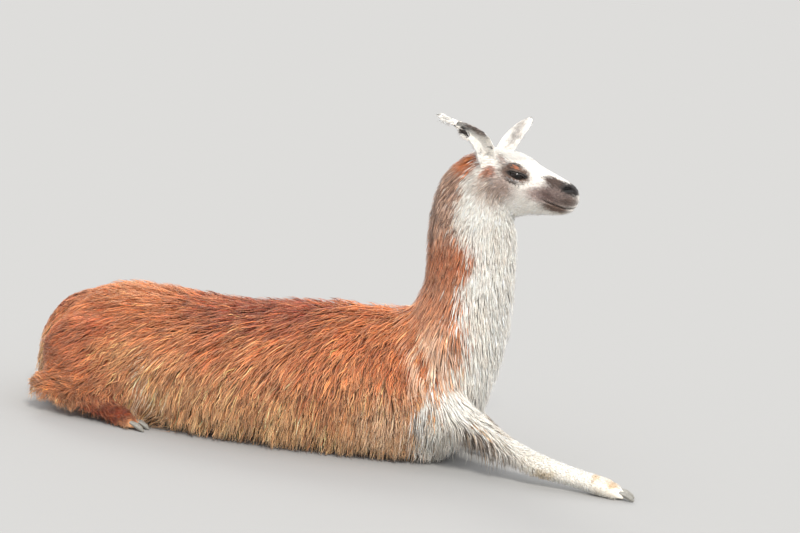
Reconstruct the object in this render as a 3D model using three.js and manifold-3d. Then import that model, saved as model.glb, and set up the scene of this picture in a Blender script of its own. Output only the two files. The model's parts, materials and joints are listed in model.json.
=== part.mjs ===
// A life-size llama lying down at rest, with its right foreleg stretched out in front and its other legs
// folded under it. Millimetres, +Z up. The llama faces +X and its left side is +Y. The floor is at z = 0,
// and the origin is the point of the floor under the middle of the trunk, on the flat of the belly.
import * as THREE from "three";
import { mergeVertices } from "three/addons/utils/BufferGeometryUtils.js";
import Module from "manifold-3d";

const wasm = await Module();
wasm.setup();

// Driving dimensions of the animal with its coat on.
const TRUNK_LENGTH = 1160; // from the back of the rump to the front of the breast
const WITHERS_HEIGHT = 418; // of the lying animal
const TRUNK_HALF_WIDTH = 278;
const NECK_LENGTH = 470; // from the withers to the poll
const HEAD_LENGTH = 330; // from the poll to the nose
const HEAD_PITCH = 14; // degrees that the nose points below the horizon
const EAR_WIDTH = 54;
const EAR_WALL = 4;
const EYE_RADIUS = 20;
const TAIL_WIDTH = 92;
const TOE_LENGTH = 78;
const TOE_WIDTH = 31;
const NAIL_LENGTH = 42;

// How finely the solids are faceted.
const BODY_SIDES = 24;
const LIMB_SIDES = 10;
const TOE_SIDES = 10;
const NAIL_SIDES = 8;
const BALL_SIDES = 14;
const SLIVER = 0.08; // edges shorter than this are closed up after a cut
const NARROWING = 1.2; // how late a body ring narrows towards its back and belly
const GAP = 0.4; // clearance left where one piece is cut by its neighbour

const { PI, cos, sin, abs, sign, max, min, round } = Math;
const radians = (degrees) => (degrees * PI) / 180;
const vec = (x, y, z) => new THREE.Vector3(x, y, z);

// ---------------------------------------------------------------- shapes

// A closed geometry through rings of the same number of points, with a fan at each end.
function skinOver(rings) {
  const sides = rings[0].length;
  const middle = (ring) => ring.reduce((sum, p) => sum.add(p), vec(0, 0, 0)).divideScalar(sides);
  const points = [...rings.flat(), middle(rings[0]), middle(rings.at(-1))];
  const first = points.length - 2;
  const last = points.length - 1;
  const index = [];
  for (let r = 0; r < rings.length - 1; r++) {
    for (let i = 0; i < sides; i++) {
      const a = r * sides + i;
      const b = r * sides + ((i + 1) % sides);
      index.push(a, b, b + sides, a, b + sides, a + sides);
    }
  }
  const end = (rings.length - 1) * sides;
  for (let i = 0; i < sides; i++) {
    const next = (i + 1) % sides;
    index.push(first, next, i, last, end + i, end + next);
  }
  return new THREE.BufferGeometry().setFromPoints(points).setIndex(index);
}

const smoothCurve = (points) => new THREE.CatmullRomCurve3(points, false, "centripetal");

// The same rings with more between them, each point following a smooth curve along the piece.
function fairRings(rings, steps) {
  const lines = rings[0].map((_, i) => smoothCurve(rings.map((ring) => ring[i])));
  const count = (rings.length - 1) * steps;
  return Array.from({ length: count + 1 }, (_, k) => lines.map((line) => line.getPoint(k / count)));
}

// One ring of the body in a plane across it. `over` and `under` are its highest and lowest points on the
// midline. `upper`, `middle` and `lower` are its half widths towards the back, at mid height and towards the
// belly. `square` and `boxy` say how far its upper and lower halves are from an ellipse, which is 2.
function bodyRing({ over, under, upper, middle, lower, square = 2.2, boxy = square, grow = 0 }) {
  const top = vec(over[0], 0, over[1]);
  const bottom = vec(under[0], 0, under[1]);
  const centre = top.clone().add(bottom).divideScalar(2);
  const rise = top.clone().sub(bottom).divideScalar(2);
  const reach = 1 + grow / rise.length();
  return Array.from({ length: BODY_SIDES }, (_, i) => {
    const turn = (2 * PI * i) / BODY_SIDES;
    const power = 2 / (cos(turn) > 0 ? square : boxy);
    const up = sign(cos(turn)) * abs(cos(turn)) ** power;
    const out = sign(sin(turn)) * abs(sin(turn)) ** power;
    const narrowed = (upper - middle) * max(0, up) ** NARROWING + (lower - middle) * max(0, -up) ** NARROWING;
    const width = middle + narrowed + grow;
    return centre.clone().addScaledVector(rise, up * reach).add(vec(0, out * width, 0));
  });
}

// A tube of elliptical rings. Stations hold a centre `at`, and the half sizes `wide`, across the limb, and
// `deep`, in its plane.
function limb(stations, { sides = LIMB_SIDES, steps = 3, across = vec(0, 1, 0) } = {}) {
  const path = smoothCurve(stations.map((s) => vec(...s.at)));
  const rings = stations.map((station, k) => {
    const along = path.getTangent(k / (stations.length - 1));
    const side = across.clone().addScaledVector(along, -across.dot(along)).normalize();
    const face = side.clone().cross(along);
    return Array.from({ length: sides }, (_, i) => {
      const turn = (2 * PI * i) / sides;
      const offset = side.clone().multiplyScalar(station.wide * cos(turn));
      return vec(...station.at).add(offset).addScaledVector(face, station.deep * sin(turn));
    });
  });
  return solid(skinOver(fairRings(rings, steps)));
}

// ---------------------------------------------------------------- booleans

// A geometry as a solid, turned the right way out.
function solid(geometry) {
  const bare = geometry.clone();
  bare.deleteAttribute("normal");
  bare.deleteAttribute("uv");
  const merged = mergeVertices(bare, 1e-4);
  const vertProperties = merged.getAttribute("position").array;
  const triVerts = new Uint32Array(merged.index.array);
  const made = new wasm.Manifold(new wasm.Mesh({ numProp: 3, vertProperties, triVerts }));
  if (made.volume() > 0) {
    return made;
  }
  return new wasm.Manifold(new wasm.Mesh({ numProp: 3, vertProperties, triVerts: triVerts.reverse() }));
}

// A solid as a geometry.
function geometryOf(made) {
  const mesh = made.getMesh();
  return new THREE.BufferGeometry()
    .setAttribute("position", new THREE.BufferAttribute(new Float32Array(mesh.vertProperties), 3))
    .setIndex(new THREE.BufferAttribute(new Uint32Array(mesh.triVerts), 1));
}

const joined = (parts) => parts.reduce((all, part) => all.add(part));
const largest = (made) => made.decompose().reduce((a, b) => (b.volume() > a.volume() ? b : a));
const tidied = (made) => largest(made.simplify(SLIVER));

const SLAB = { length: 4000, width: 2000, depth: 400 };
const floorSlab = solid(
  new THREE.BoxGeometry(SLAB.length, SLAB.width, SLAB.depth).translate(0, 0, -SLAB.depth / 2),
);
const onFloor = (made) => largest(made.subtract(floorSlab));

// ---------------------------------------------------------------- body, from the rump to the nose

// Trunk rings: `along` is a share of the trunk's length from its middle, `top` and `foot` are shares of the
// withers' height, and the half widths are shares of the trunk's.
const TRUNK_RINGS = [
  { along: -0.583, top: 0.41, foot: 0.2, upper: 0.1, middle: 0.17, lower: 0.14 },
  { along: -0.572, top: 0.53, foot: 0.06, upper: 0.24, middle: 0.34, lower: 0.3 },
  { along: -0.543, top: 0.655, foot: -0.01, upper: 0.38, middle: 0.48, lower: 0.43 },
  { along: -0.5, top: 0.775, foot: -0.014, upper: 0.5, middle: 0.6, lower: 0.52 },
  { along: -0.44, top: 0.872, foot: -0.014, upper: 0.57, middle: 0.7, lower: 0.6 },
  { along: -0.34, top: 0.903, foot: -0.014, upper: 0.62, middle: 0.82, lower: 0.7 },
  { along: -0.22, top: 0.892, foot: -0.014, upper: 0.66, middle: 0.94, lower: 0.82 },
  { along: -0.09, top: 0.888, foot: -0.014, upper: 0.68, middle: 1, lower: 0.92 },
  { along: 0.04, top: 0.945, foot: -0.014, upper: 0.64, middle: 1, lower: 0.92 },
  { along: 0.15, top: 0.985, foot: -0.014, upper: 0.56, middle: 0.95, lower: 0.84 },
  { along: 0.245, top: 1, foot: -0.014, upper: 0.47, middle: 0.87, lower: 0.74 },
].map(({ along, top, foot, upper, middle, lower }) => ({
  over: [along * TRUNK_LENGTH, top * WITHERS_HEIGHT],
  under: [along * TRUNK_LENGTH, foot * WITHERS_HEIGHT],
  upper: upper * TRUNK_HALF_WIDTH,
  middle: middle * TRUNK_HALF_WIDTH,
  lower: lower * TRUNK_HALF_WIDTH,
  boxy: 2.9,
}));

// Neck rings turn from upright at the withers to level at the throat. `crest` and `throat` are points on the
// nape and on the breast and gullet, each as shares of the neck's length from the withers.
const WITHERS = [300, WITHERS_HEIGHT];
const NECK_RINGS = [
  { crest: [0.085, 0.004], throat: [0.33, -0.905], upper: 112, middle: 222, lower: 172, boxy: 2.7 },
  { crest: [0.14, 0.05], throat: [0.58, -0.75], upper: 96, middle: 196, lower: 140, boxy: 2.4 },
  { crest: [0.185, 0.115], throat: [0.695, -0.41], upper: 84, middle: 160, lower: 118, square: 2.15 },
  { crest: [0.2, 0.2], throat: [0.745, -0.14], upper: 76, middle: 124, lower: 104, square: 2.1 },
  { crest: [0.195, 0.32], throat: [0.752, 0.08], upper: 74, middle: 108, lower: 93, square: 2.1 },
  { crest: [0.185, 0.46], throat: [0.742, 0.28], upper: 72, middle: 98, lower: 84, square: 2.1 },
  { crest: [0.19, 0.61], throat: [0.732, 0.43], upper: 70, middle: 91, lower: 77, square: 2.1 },
  { crest: [0.215, 0.745], throat: [0.715, 0.53], upper: 68, middle: 84, lower: 70, square: 2.1 },
  { crest: [0.275, 0.86], throat: [0.69, 0.585], upper: 66, middle: 80, lower: 66, square: 2.1 },
].map(({ crest, throat, ...sizes }) => ({
  over: [WITHERS[0] + crest[0] * NECK_LENGTH, WITHERS[1] + crest[1] * NECK_LENGTH],
  under: [WITHERS[0] + throat[0] * NECK_LENGTH, WITHERS[1] + throat[1] * NECK_LENGTH],
  ...sizes,
}));

// Head rings, in the head's own frame: `crown` and `chin` are points on the top of the head and under the
// jaw, each as a share of the head's length from the poll and a height above the line from poll to nose.
const POLL = [472, 826];
const HEAD_RINGS = [
  { crown: [0.05, 62], chin: [0.55, -77], upper: 58, middle: 77, lower: 52, square: 2.1 },
  { crown: [0.16, 80], chin: [0.595, -67], upper: 56, middle: 78, lower: 48, square: 2.1 },
  { crown: [0.28, 87], chin: [0.64, -58], upper: 54, middle: 79, lower: 44, square: 2.1 },
  { crown: [0.39, 93], chin: [0.69, -51], upper: 51, middle: 76, lower: 40, square: 2.15 },
  { crown: [0.49, 91], chin: [0.735, -45], upper: 46, middle: 66, lower: 36, square: 2.2 },
  { crown: [0.59, 81], chin: [0.785, -39], upper: 38, middle: 54, lower: 33, square: 2.2 },
  { crown: [0.69, 76], chin: [0.835, -34], upper: 31, middle: 46, lower: 31, square: 2.2 },
  { crown: [0.79, 71], chin: [0.88, -28], upper: 28, middle: 41, lower: 29, square: 2.25 },
  { crown: [0.875, 67], chin: [0.92, -21], upper: 27, middle: 40, lower: 27, square: 2.3 },
  { crown: [0.945, 56], chin: [0.958, -10], upper: 24, middle: 34, lower: 22, square: 2.2 },
  { crown: [0.988, 35], chin: [0.985, 4], upper: 12, middle: 18, lower: 11, square: 2.1 },
].map(({ crown, chin, ...sizes }) => ({
  over: inHead(crown[0] * HEAD_LENGTH, crown[1]),
  under: inHead(chin[0] * HEAD_LENGTH, chin[1]),
  ...sizes,
}));

// A point of the head's midline, from its distance ahead of the poll and its height above the poll's line.
function inHead(ahead, above) {
  const pitch = radians(HEAD_PITCH);
  const x = POLL[0] + ahead * cos(pitch) + above * sin(pitch);
  const z = POLL[1] - ahead * sin(pitch) + above * cos(pitch);
  return [x, z];
}

const BODY_RINGS = [...TRUNK_RINGS, ...NECK_RINGS, ...HEAD_RINGS];
const RING_STEPS = 2;
const NECK_START = (TRUNK_RINGS.length + 1) * RING_STEPS;
const HEAD_START = (TRUNK_RINGS.length + NECK_RINGS.length) * RING_STEPS;

// The whole body as fair rings, or as a slightly larger body that cuts the limbs with a clearance.
const bodyRings = (grow) =>
  fairRings(
    BODY_RINGS.map((ring) => bodyRing({ ...ring, grow })),
    RING_STEPS,
  );

// The rings from one to another, with the cut at each end moved inwards by half the clearance.
function between(rings, first, last) {
  const part = rings.slice(first, last + 1).map((ring) => ring.map((p) => p.clone()));
  const shift = (ring, towards) => {
    const normal = ring[0].clone().sub(ring[BODY_SIDES / 2]).cross(vec(0, 1, 0)).normalize();
    ring.forEach((p) => p.addScaledVector(normal, (towards * GAP) / 2));
  };
  if (first > 0) {
    shift(part[0], -1);
  }
  if (last < rings.length - 1) {
    shift(part.at(-1), 1);
  }
  return solid(skinOver(part));
}

const fair = bodyRings(0);
const cutter = solid(skinOver(bodyRings(GAP)));
const clearOfBody = (made) => largest(made.subtract(cutter));

const trunk = onFloor(between(fair, 0, NECK_START));
const neck = onFloor(between(fair, NECK_START, HEAD_START));

// ---------------------------------------------------------------- eyes, mouth and nostrils

const SIDES = { right: -1, left: 1 };
const bySide = (make) =>
  Object.fromEntries(Object.entries(SIDES).map(([name, side]) => [name, make(side)]));

// A point beside the head's midline.
const beside = (ahead, above, out) => {
  const [x, z] = inHead(ahead, above);
  return [x, out, z];
};

const ball = (sizes, at, turnY = 0, sides = BALL_SIDES) =>
  solid(
    new THREE.SphereGeometry(1, sides, round(sides * 0.75))
      .scale(...sizes)
      .rotateY(radians(turnY))
      .translate(...at),
  );

const EYE = { ahead: 0.445, above: 39, out: 63 };
const eyeBall = (side, grow = 0) =>
  ball(Array(3).fill(EYE_RADIUS + grow), beside(EYE.ahead * HEAD_LENGTH, EYE.above, side * EYE.out));

// The mouth: a slot along the lips' line from its corners to the front, only as deep as the lips.
const LIP_DEPTH = 9;
const LIP_SLOT = 2.4;
const LIP_SLIVER = 0.3; // closes up short edges of the slot's back
const MUZZLE_SPAN = 120; // wide enough to cross the whole muzzle
const LIPS_LINE = [
  [0.755, 7],
  [0.83, -2],
  [0.89, -4],
  [0.95, 2.5],
  [1.03, 10],
];
function lipsSlot() {
  const edge = LIPS_LINE.map(([share, above]) => inHead(share * HEAD_LENGTH, above));
  const over = edge.map(([x, z]) => new THREE.Vector2(x, z + LIP_SLOT / 2));
  const under = edge.map(([x, z]) => new THREE.Vector2(x, z - LIP_SLOT / 2));
  const shape = new THREE.Shape([...over, ...under.reverse()]);
  const blade = new THREE.ExtrudeGeometry(shape, { depth: MUZZLE_SPAN, bevelEnabled: false, steps: 1 });
  blade.rotateX(PI / 2).translate(0, MUZZLE_SPAN / 2, 0);
  const core = solid(skinOver(bodyRings(-LIP_DEPTH).slice(HEAD_START, -2)));
  return solid(blade).subtract(core).simplify(LIP_SLIVER);
}

const NOSTRIL = { ahead: 0.895, above: 48, out: 32, sizes: [9, 9, 4], pitch: -12, sides: 8 };
const nostril = (side) => {
  const at = beside(NOSTRIL.ahead * HEAD_LENGTH, NOSTRIL.above, side * NOSTRIL.out);
  return ball(NOSTRIL.sizes, at, NOSTRIL.pitch, NOSTRIL.sides);
};

const eyes = bySide((side) => eyeBall(side));
const head = largest(
  between(fair, HEAD_START, fair.length - 1)
    .subtract(joined([eyeBall(-1, GAP), eyeBall(1, GAP)]))
    .subtract(lipsSlot())
    .subtract(joined([nostril(-1), nostril(1)])),
);

// ---------------------------------------------------------------- ears

const EAR_SPAN = 8; // facets across an ear
const EAR_ROUNDING = 1.3; // 1 is an elliptical section, and more draws its back to a keel
const THICKEST = 0.6; // the wall's greatest share of an ear's half width and depth

// A hollow ear: a crescent section swept along its stations, open towards the ways that it faces at its foot
// and at its tip. Each station holds a centre `at`, the half width `wide` and the crescent's depth `curl`.
function ear(stations, [facesFirst, facesLast]) {
  const path = smoothCurve(stations.map((s) => vec(...s.at)));
  const rings = stations.map(({ at, wide, curl }, k) => {
    const along = path.getTangent(k / (stations.length - 1));
    const open = vec(...facesFirst).lerp(vec(...facesLast), k / (stations.length - 1));
    const face = open.addScaledVector(along, -open.dot(along)).normalize();
    const side = along.clone().cross(face);
    const arc = (u, wall) => {
      const turn = (u * PI) / 2;
      const edge = vec(...at).addScaledVector(side, (wide - wall) * sin(turn));
      return edge.addScaledVector(face, (wall - curl) * cos(turn) ** EAR_ROUNDING);
    };
    const shares = Array.from({ length: EAR_SPAN + 1 }, (_, i) => (2 * i) / EAR_SPAN - 1);
    const wall = min(EAR_WALL, wide * THICKEST, curl * THICKEST);
    return [...shares.map((u) => arc(u, 0)), ...shares.reverse().map((u) => arc(u, wall))];
  });
  return clearOfBody(solid(skinOver(fairRings(rings, 2))));
}

const halfEar = EAR_WIDTH / 2;

// The right ear is laid back from its middle and opens outwards and back. The left one is pricked and opens
// outwards.
const ears = {
  right: ear(
    [
      { at: [544, -54, 838], wide: halfEar * 0.84, curl: 26 },
      { at: [536, -62, 870], wide: halfEar * 0.96, curl: 27 },
      { at: [521, -73, 903], wide: halfEar * 0.98, curl: 25 },
      { at: [492, -86, 928], wide: halfEar * 0.8, curl: 21 },
      { at: [457, -97, 945], wide: halfEar * 0.52, curl: 14 },
      { at: [426, -105, 957], wide: halfEar * 0.38, curl: 9 },
      { at: [403, -110, 966], wide: halfEar * 0.24, curl: 6 },
    ],
    [[0.45, -0.9, 0], [-0.2, -0.75, -0.6]],
  ),
  left: ear(
    [
      { at: [556, 50, 838], wide: halfEar * 0.9, curl: 25 },
      { at: [566, 58, 872], wide: halfEar * 1.06, curl: 26 },
      { at: [579, 68, 904], wide: halfEar * 1.06, curl: 24 },
      { at: [597, 78, 935], wide: halfEar * 0.9, curl: 19 },
      { at: [616, 86, 960], wide: halfEar * 0.68, curl: 13 },
      { at: [630, 90, 977], wide: halfEar * 0.3, curl: 6 },
    ],
    [[0.5, 0.85, 0], [0.4, 0.8, -0.2]],
  ),
};

// ---------------------------------------------------------------- feet

// A toe and its nail, in the foot's own frame: +X towards the tips, z = 0 at the sole.
const toe = (side) =>
  limb(
    [
      { at: [-0.6 * TOE_LENGTH, side * 0.2 * TOE_WIDTH, 29], wide: 0.5 * TOE_WIDTH, deep: 20 },
      { at: [-0.3 * TOE_LENGTH, side * 0.3 * TOE_WIDTH, 25], wide: 0.6 * TOE_WIDTH, deep: 27 },
      { at: [0, side * 0.42 * TOE_WIDTH, 20], wide: 0.58 * TOE_WIDTH, deep: 23 },
      { at: [0.28 * TOE_LENGTH, side * 0.5 * TOE_WIDTH, 16], wide: 0.5 * TOE_WIDTH, deep: 18 },
      { at: [0.5 * TOE_LENGTH, side * 0.52 * TOE_WIDTH, 12], wide: 0.28 * TOE_WIDTH, deep: 10 },
    ],
    { sides: TOE_SIDES, steps: 1 },
  );

// Nail stations: a share of the nail's length from its root, a share of the toe's width from the middle of
// the foot, the height over the sole, and the half sizes.
const NAIL_ROOT = 0.18 * TOE_LENGTH;
const NAIL_STATIONS = [
  { share: 0, out: 0.5, height: 25, wide: 8, deep: 5 },
  { share: 0.45, out: 0.54, height: 20, wide: 9, deep: 8 },
  { share: 0.8, out: 0.53, height: 12, wide: 6.5, deep: 7 },
  { share: 1, out: 0.5, height: 6, wide: 2, deep: 3 },
];
const nailOf = (side, grow = 0) =>
  limb(
    NAIL_STATIONS.map(({ share, out, height, wide, deep }) => ({
      at: [NAIL_ROOT + share * NAIL_LENGTH + (2 * share - 1) * grow, side * out * TOE_WIDTH, height],
      wide: wide + grow,
      deep: deep + grow,
    })),
    { sides: NAIL_SIDES, steps: 1 },
  );

// A foot of two toes placed on its leg: heading turns it about the upright axis and roll about its length.
function foot({ at, heading = 0, roll = 0 }) {
  const place = (made) => made.rotate([roll, 0, 0]).rotate([0, 0, heading]).translate(at);
  const holes = joined([nailOf(-1, GAP), nailOf(1, GAP)]);
  return {
    toes: place(joined([toe(-1), toe(1)]).subtract(holes)),
    nails: { right: place(nailOf(-1)), left: place(nailOf(1)) },
    holes: place(holes),
  };
}

// ---------------------------------------------------------------- legs

// Stations from one joint to the next: each size holds a share of the way and the two half sizes there.
const bone = (from, to, ...sizes) =>
  sizes.map(([share, wide, deep]) => ({ at: from.map((v, i) => v + (to[i] - v) * share), wide, deep }));

// A leg of several lofts and its foot, cleared of the body and cut flat by the floor.
function leg(lofts, end) {
  const { toes, nails, holes } = foot(end);
  const whole = joined([...lofts.map((stations) => limb(stations, { steps: 2 })), toes]).subtract(holes);
  return { limb: onFloor(clearOfBody(whole)), nails };
}

const STRETCHED = { elbow: [520, -150, 172], knee: [775, -141, 60], fetlock: [968, -136, 27] };
const stretchedForeleg = leg(
  [
    [
      ...bone(
        STRETCHED.elbow,
        STRETCHED.knee,
        [-0.25, 60, 74],
        [0.12, 54, 60],
        [0.42, 43, 43],
        [0.72, 34, 33],
      ),
      ...bone(
        STRETCHED.knee,
        STRETCHED.fetlock,
        [0, 37, 36],
        [0.24, 31, 32],
        [0.56, 26, 28],
        [0.82, 27, 28],
        [1.02, 31, 29],
        [1.16, 24, 22],
      ),
    ],
  ],
  { at: [1002, -135, -3], heading: 2 },
);

const TUCKED = { elbow: [410, 138, 196], knee: [648, 74, 50], fetlock: [456, 150, 31] };
const tuckedForeleg = leg(
  [
    bone(
      TUCKED.elbow,
      TUCKED.knee,
      [-0.1, 50, 56],
      [0.25, 50, 56],
      [0.6, 43, 43],
      [0.88, 39, 38],
      [1.04, 30, 30],
    ),
    bone(
      TUCKED.knee,
      TUCKED.fetlock,
      [-0.06, 28, 28],
      [0.12, 34, 34],
      [0.4, 28, 28],
      [0.75, 26, 27],
      [1, 30, 29],
      [1.16, 22, 22],
    ),
  ],
  { at: [420, 162, 43], heading: 158, roll: 180 },
);

// Each hind leg: the thigh fills the haunch from the rump to the stifle, the gaskin goes back to the hock,
// and the shank lies forward along the floor.
const hindLegs = bySide((side) => {
  const rump = [-650, side * 126, 176];
  const stifle = [-348, side * 176, 140];
  const hock = [-624, side * 200, 84];
  const fetlock = [-392, side * 216, 32];
  return leg(
    [
      bone(
        rump,
        stifle,
        [0, 20, 40],
        [0.12, 58, 100],
        [0.34, 82, 140],
        [0.62, 86, 142],
        [0.86, 70, 118],
        [1.02, 26, 56],
      ),
      bone(
        stifle,
        hock,
        [0.1, 50, 60],
        [0.35, 58, 74],
        [0.65, 50, 66],
        [0.86, 40, 48],
        [1.02, 32, 36],
        [1.09, 18, 20],
      ),
      bone(
        hock,
        fetlock,
        [-0.12, 16, 22],
        [-0.04, 30, 38],
        [0.12, 34, 44],
        [0.35, 30, 36],
        [0.7, 27, 30],
        [0.98, 31, 31],
        [1.16, 22, 22],
      ),
    ],
    { at: [-352, side * 223, -3], heading: side * 8 },
  );
});

// ---------------------------------------------------------------- tail

const tail = onFloor(
  clearOfBody(
    limb(
      [
        { at: [-540, 0, 328], wide: 0.34 * TAIL_WIDTH, deep: 22 },
        { at: [-606, 0, 300], wide: 0.42 * TAIL_WIDTH, deep: 24 },
        { at: [-655, 0, 248], wide: 0.5 * TAIL_WIDTH, deep: 25 },
        { at: [-683, 0, 180], wide: 0.5 * TAIL_WIDTH, deep: 24 },
        { at: [-694, 0, 116], wide: 0.4 * TAIL_WIDTH, deep: 20 },
        { at: [-698, 0, 66], wide: 0.16 * TAIL_WIDTH, deep: 9 },
      ],
      { steps: 2 },
    ),
  ),
);

// ---------------------------------------------------------------- the animal

const COATS = {
  brown: { color: 0x8a4a2b, roughness: 0.9, metalness: 0 },
  cream: { color: 0xd9cabb, roughness: 0.9, metalness: 0 },
  white: { color: 0xdcd5cd, roughness: 0.85, metalness: 0 },
  eye: { color: 0x140d0a, roughness: 0.08, metalness: 0 },
  horn: { color: 0x5a5b5f, roughness: 0.5, metalness: 0 },
};

const llama = new THREE.Group();
llama.name = "llama";

function add(name, made, coat) {
  const material = new THREE.MeshStandardMaterial(COATS[coat]);
  const mesh = new THREE.Mesh(geometryOf(tidied(made)), material);
  mesh.name = name;
  llama.add(mesh);
}

function addLeg(name, { limb: flesh, nails }, coat) {
  add(name, flesh, coat);
  for (const [side, nail] of Object.entries(nails)) {
    add(`nail_${name}_${side}`, nail, "horn");
  }
}

add("trunk", trunk, "brown");
add("neck", neck, "cream");
add("head", head, "white");
for (const side of Object.keys(SIDES)) {
  add(`eye_${side}`, eyes[side], "eye");
  add(`ear_${side}`, ears[side], "white");
  addLeg(`hindleg_${side}`, hindLegs[side], "brown");
}
addLeg("foreleg_right", stretchedForeleg, "cream");
addLeg("foreleg_left", tuckedForeleg, "cream");
add("tail", tail, "brown");

export default llama;
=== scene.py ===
"""The looks of a life-size llama at rest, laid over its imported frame.

One skin stands for all the flesh, a coat of modelled locks lies over it, and the eyes and nails
are the frame's own solids.
"""

import json
import logging
import math
from collections.abc import Callable, Iterable
from dataclasses import dataclass, field
from enum import Enum
from typing import Any

import bpy
import numpy as np
from mathutils import Matrix, Vector
from mathutils.bvhtree import BVHTree

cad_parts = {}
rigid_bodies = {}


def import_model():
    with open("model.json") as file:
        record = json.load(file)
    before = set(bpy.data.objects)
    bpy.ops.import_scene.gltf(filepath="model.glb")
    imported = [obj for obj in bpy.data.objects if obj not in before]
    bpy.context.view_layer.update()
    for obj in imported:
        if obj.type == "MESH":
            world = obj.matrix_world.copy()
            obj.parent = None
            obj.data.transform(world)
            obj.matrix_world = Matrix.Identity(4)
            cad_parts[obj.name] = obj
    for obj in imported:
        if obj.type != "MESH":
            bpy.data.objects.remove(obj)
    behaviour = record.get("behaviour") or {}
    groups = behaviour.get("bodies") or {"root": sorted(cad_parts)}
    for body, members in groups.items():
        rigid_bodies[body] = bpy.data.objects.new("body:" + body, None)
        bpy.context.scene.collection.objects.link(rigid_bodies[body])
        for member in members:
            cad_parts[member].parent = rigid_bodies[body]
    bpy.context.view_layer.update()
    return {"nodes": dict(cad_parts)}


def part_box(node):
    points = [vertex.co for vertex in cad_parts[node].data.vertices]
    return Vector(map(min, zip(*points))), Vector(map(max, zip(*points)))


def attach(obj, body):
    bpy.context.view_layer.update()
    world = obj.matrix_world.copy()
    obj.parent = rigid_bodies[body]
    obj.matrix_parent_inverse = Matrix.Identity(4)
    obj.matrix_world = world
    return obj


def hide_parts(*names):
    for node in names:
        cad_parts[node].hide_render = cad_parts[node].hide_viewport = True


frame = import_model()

LOG = logging.getLogger("llama")
Spot = tuple[float, float, float]


# ---------------------------------------------------------------- small helpers


def linear(colour: str) -> Spot:
    """Turns an sRGB hex colour to linear light."""
    parts = [int(colour[i : i + 2], 16) / 255 for i in (1, 3, 5)]
    return tuple(p / 12.92 if p <= 0.04045 else ((p + 0.055) / 1.055) ** 2.4 for p in parts)


def add_node(
    tree: bpy.types.NodeTree,
    kind: str,
    settings: dict[str, Any] | None = None,
    inputs: dict[str | int, Any] | None = None,
) -> bpy.types.Node:
    """Adds a shader node with its settings and links.

    Args:
        tree: The node tree that takes it.
        kind: Blender's name for the kind of node.
        settings: The node's own properties.
        inputs: A value, or another node's output to link, for each socket name or number.

    Returns:
        The new node.
    """
    node = tree.nodes.new(kind)
    for name, value in (settings or {}).items():
        setattr(node, name, value)
    for socket, value in (inputs or {}).items():
        if isinstance(value, bpy.types.NodeSocket):
            tree.links.new(value, node.inputs[socket])
        else:
            node.inputs[socket].default_value = value
    return node


def blank_material(name: str) -> bpy.types.Material:
    """Makes a material whose node tree is empty."""
    material = bpy.data.materials.new(name)
    material.use_nodes = True
    material.node_tree.nodes.clear()
    return material


def unit(rows: np.ndarray) -> np.ndarray:
    """Gives each row the length of one."""
    return rows / np.maximum(np.linalg.norm(rows, axis=-1, keepdims=True), 1e-9)


def ease(low: float, high: float, values: np.ndarray) -> np.ndarray:
    """Rises smoothly from 0 at low to 1 at high, and falls where high is the lower one."""
    share = np.clip((values - low) / (high - low), 0.0, 1.0)
    return share * share * (3 - 2 * share)


def only(obj: bpy.types.Object) -> None:
    """Selects one object alone and makes it the active one."""
    bpy.ops.object.select_all(action="DESELECT")
    obj.select_set(True)
    bpy.context.view_layer.objects.active = obj


def corners(mesh: bpy.types.Mesh) -> np.ndarray:
    """Reads the vertices' places as rows."""
    flat = np.empty(len(mesh.vertices) * 3, dtype=np.float32)
    mesh.vertices.foreach_get("co", flat)
    return flat.reshape(-1, 3).astype(np.float64)


def normals(mesh: bpy.types.Mesh) -> np.ndarray:
    """Reads the vertices' normals as rows."""
    flat = np.empty(len(mesh.vertices) * 3, dtype=np.float32)
    mesh.vertex_normals.foreach_get("vector", flat)
    return flat.reshape(-1, 3).astype(np.float64)


def place(mesh: bpy.types.Mesh, rows: np.ndarray) -> None:
    """Writes the vertices' places."""
    mesh.vertices.foreach_set("co", rows.astype(np.float32).ravel())
    mesh.update()


def keep_rows(mesh: bpy.types.Mesh, name: str, kind: str, rows: np.ndarray) -> None:
    """Keeps rows of numbers as a point attribute of the mesh.

    Args:
        mesh: The mesh that takes them.
        name: The attribute's name.
        kind: FLOAT_COLOR for colours and FLOAT_VECTOR for other rows.
        rows: One row per vertex, of four or three numbers.
    """
    layer = mesh.attributes.new(name, kind, "POINT")
    part = "color" if kind == "FLOAT_COLOR" else "vector"
    layer.data.foreach_set(part, rows.astype(np.float32).ravel())


@dataclass(frozen=True)
class Wobble:
    """Smooth seeded unevenness in space, made of a few crossed waves."""

    size: float
    seed: int
    waves: int = 9

    def at(self, points: np.ndarray) -> np.ndarray:
        """Gives a number, mostly between -1 and 1, at each point."""
        chance = np.random.default_rng(self.seed)
        ways = unit(chance.normal(size=(self.waves, 3)))
        ways *= 2 * math.pi / self.size * chance.uniform(0.6, 1.6, (self.waves, 1))
        shift = chance.uniform(0, 2 * math.pi, self.waves)
        total = np.sin(points @ ways.T + shift).sum(axis=1)
        return np.clip(total / math.sqrt(self.waves), -1.4, 1.4)


# ---------------------------------------------------------------- how the coat lies


class Zone(Enum):
    """A part of the body that is combed by its own table."""

    TRUNK = ("trunk",)
    NECK = ("neck",)
    HEAD = ("head",)
    EAR_RIGHT = ("ear_right",)
    EAR_LEFT = ("ear_left",)
    HIND = ("hindleg_right", "hindleg_left")
    FORE_RIGHT = ("foreleg_right",)
    FORE_LEFT = ("foreleg_left",)
    TAIL = ("tail",)

    @property
    def code(self) -> int:
        """Gives the zone's place in the list of zones."""
        return list(Zone).index(self)


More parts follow.
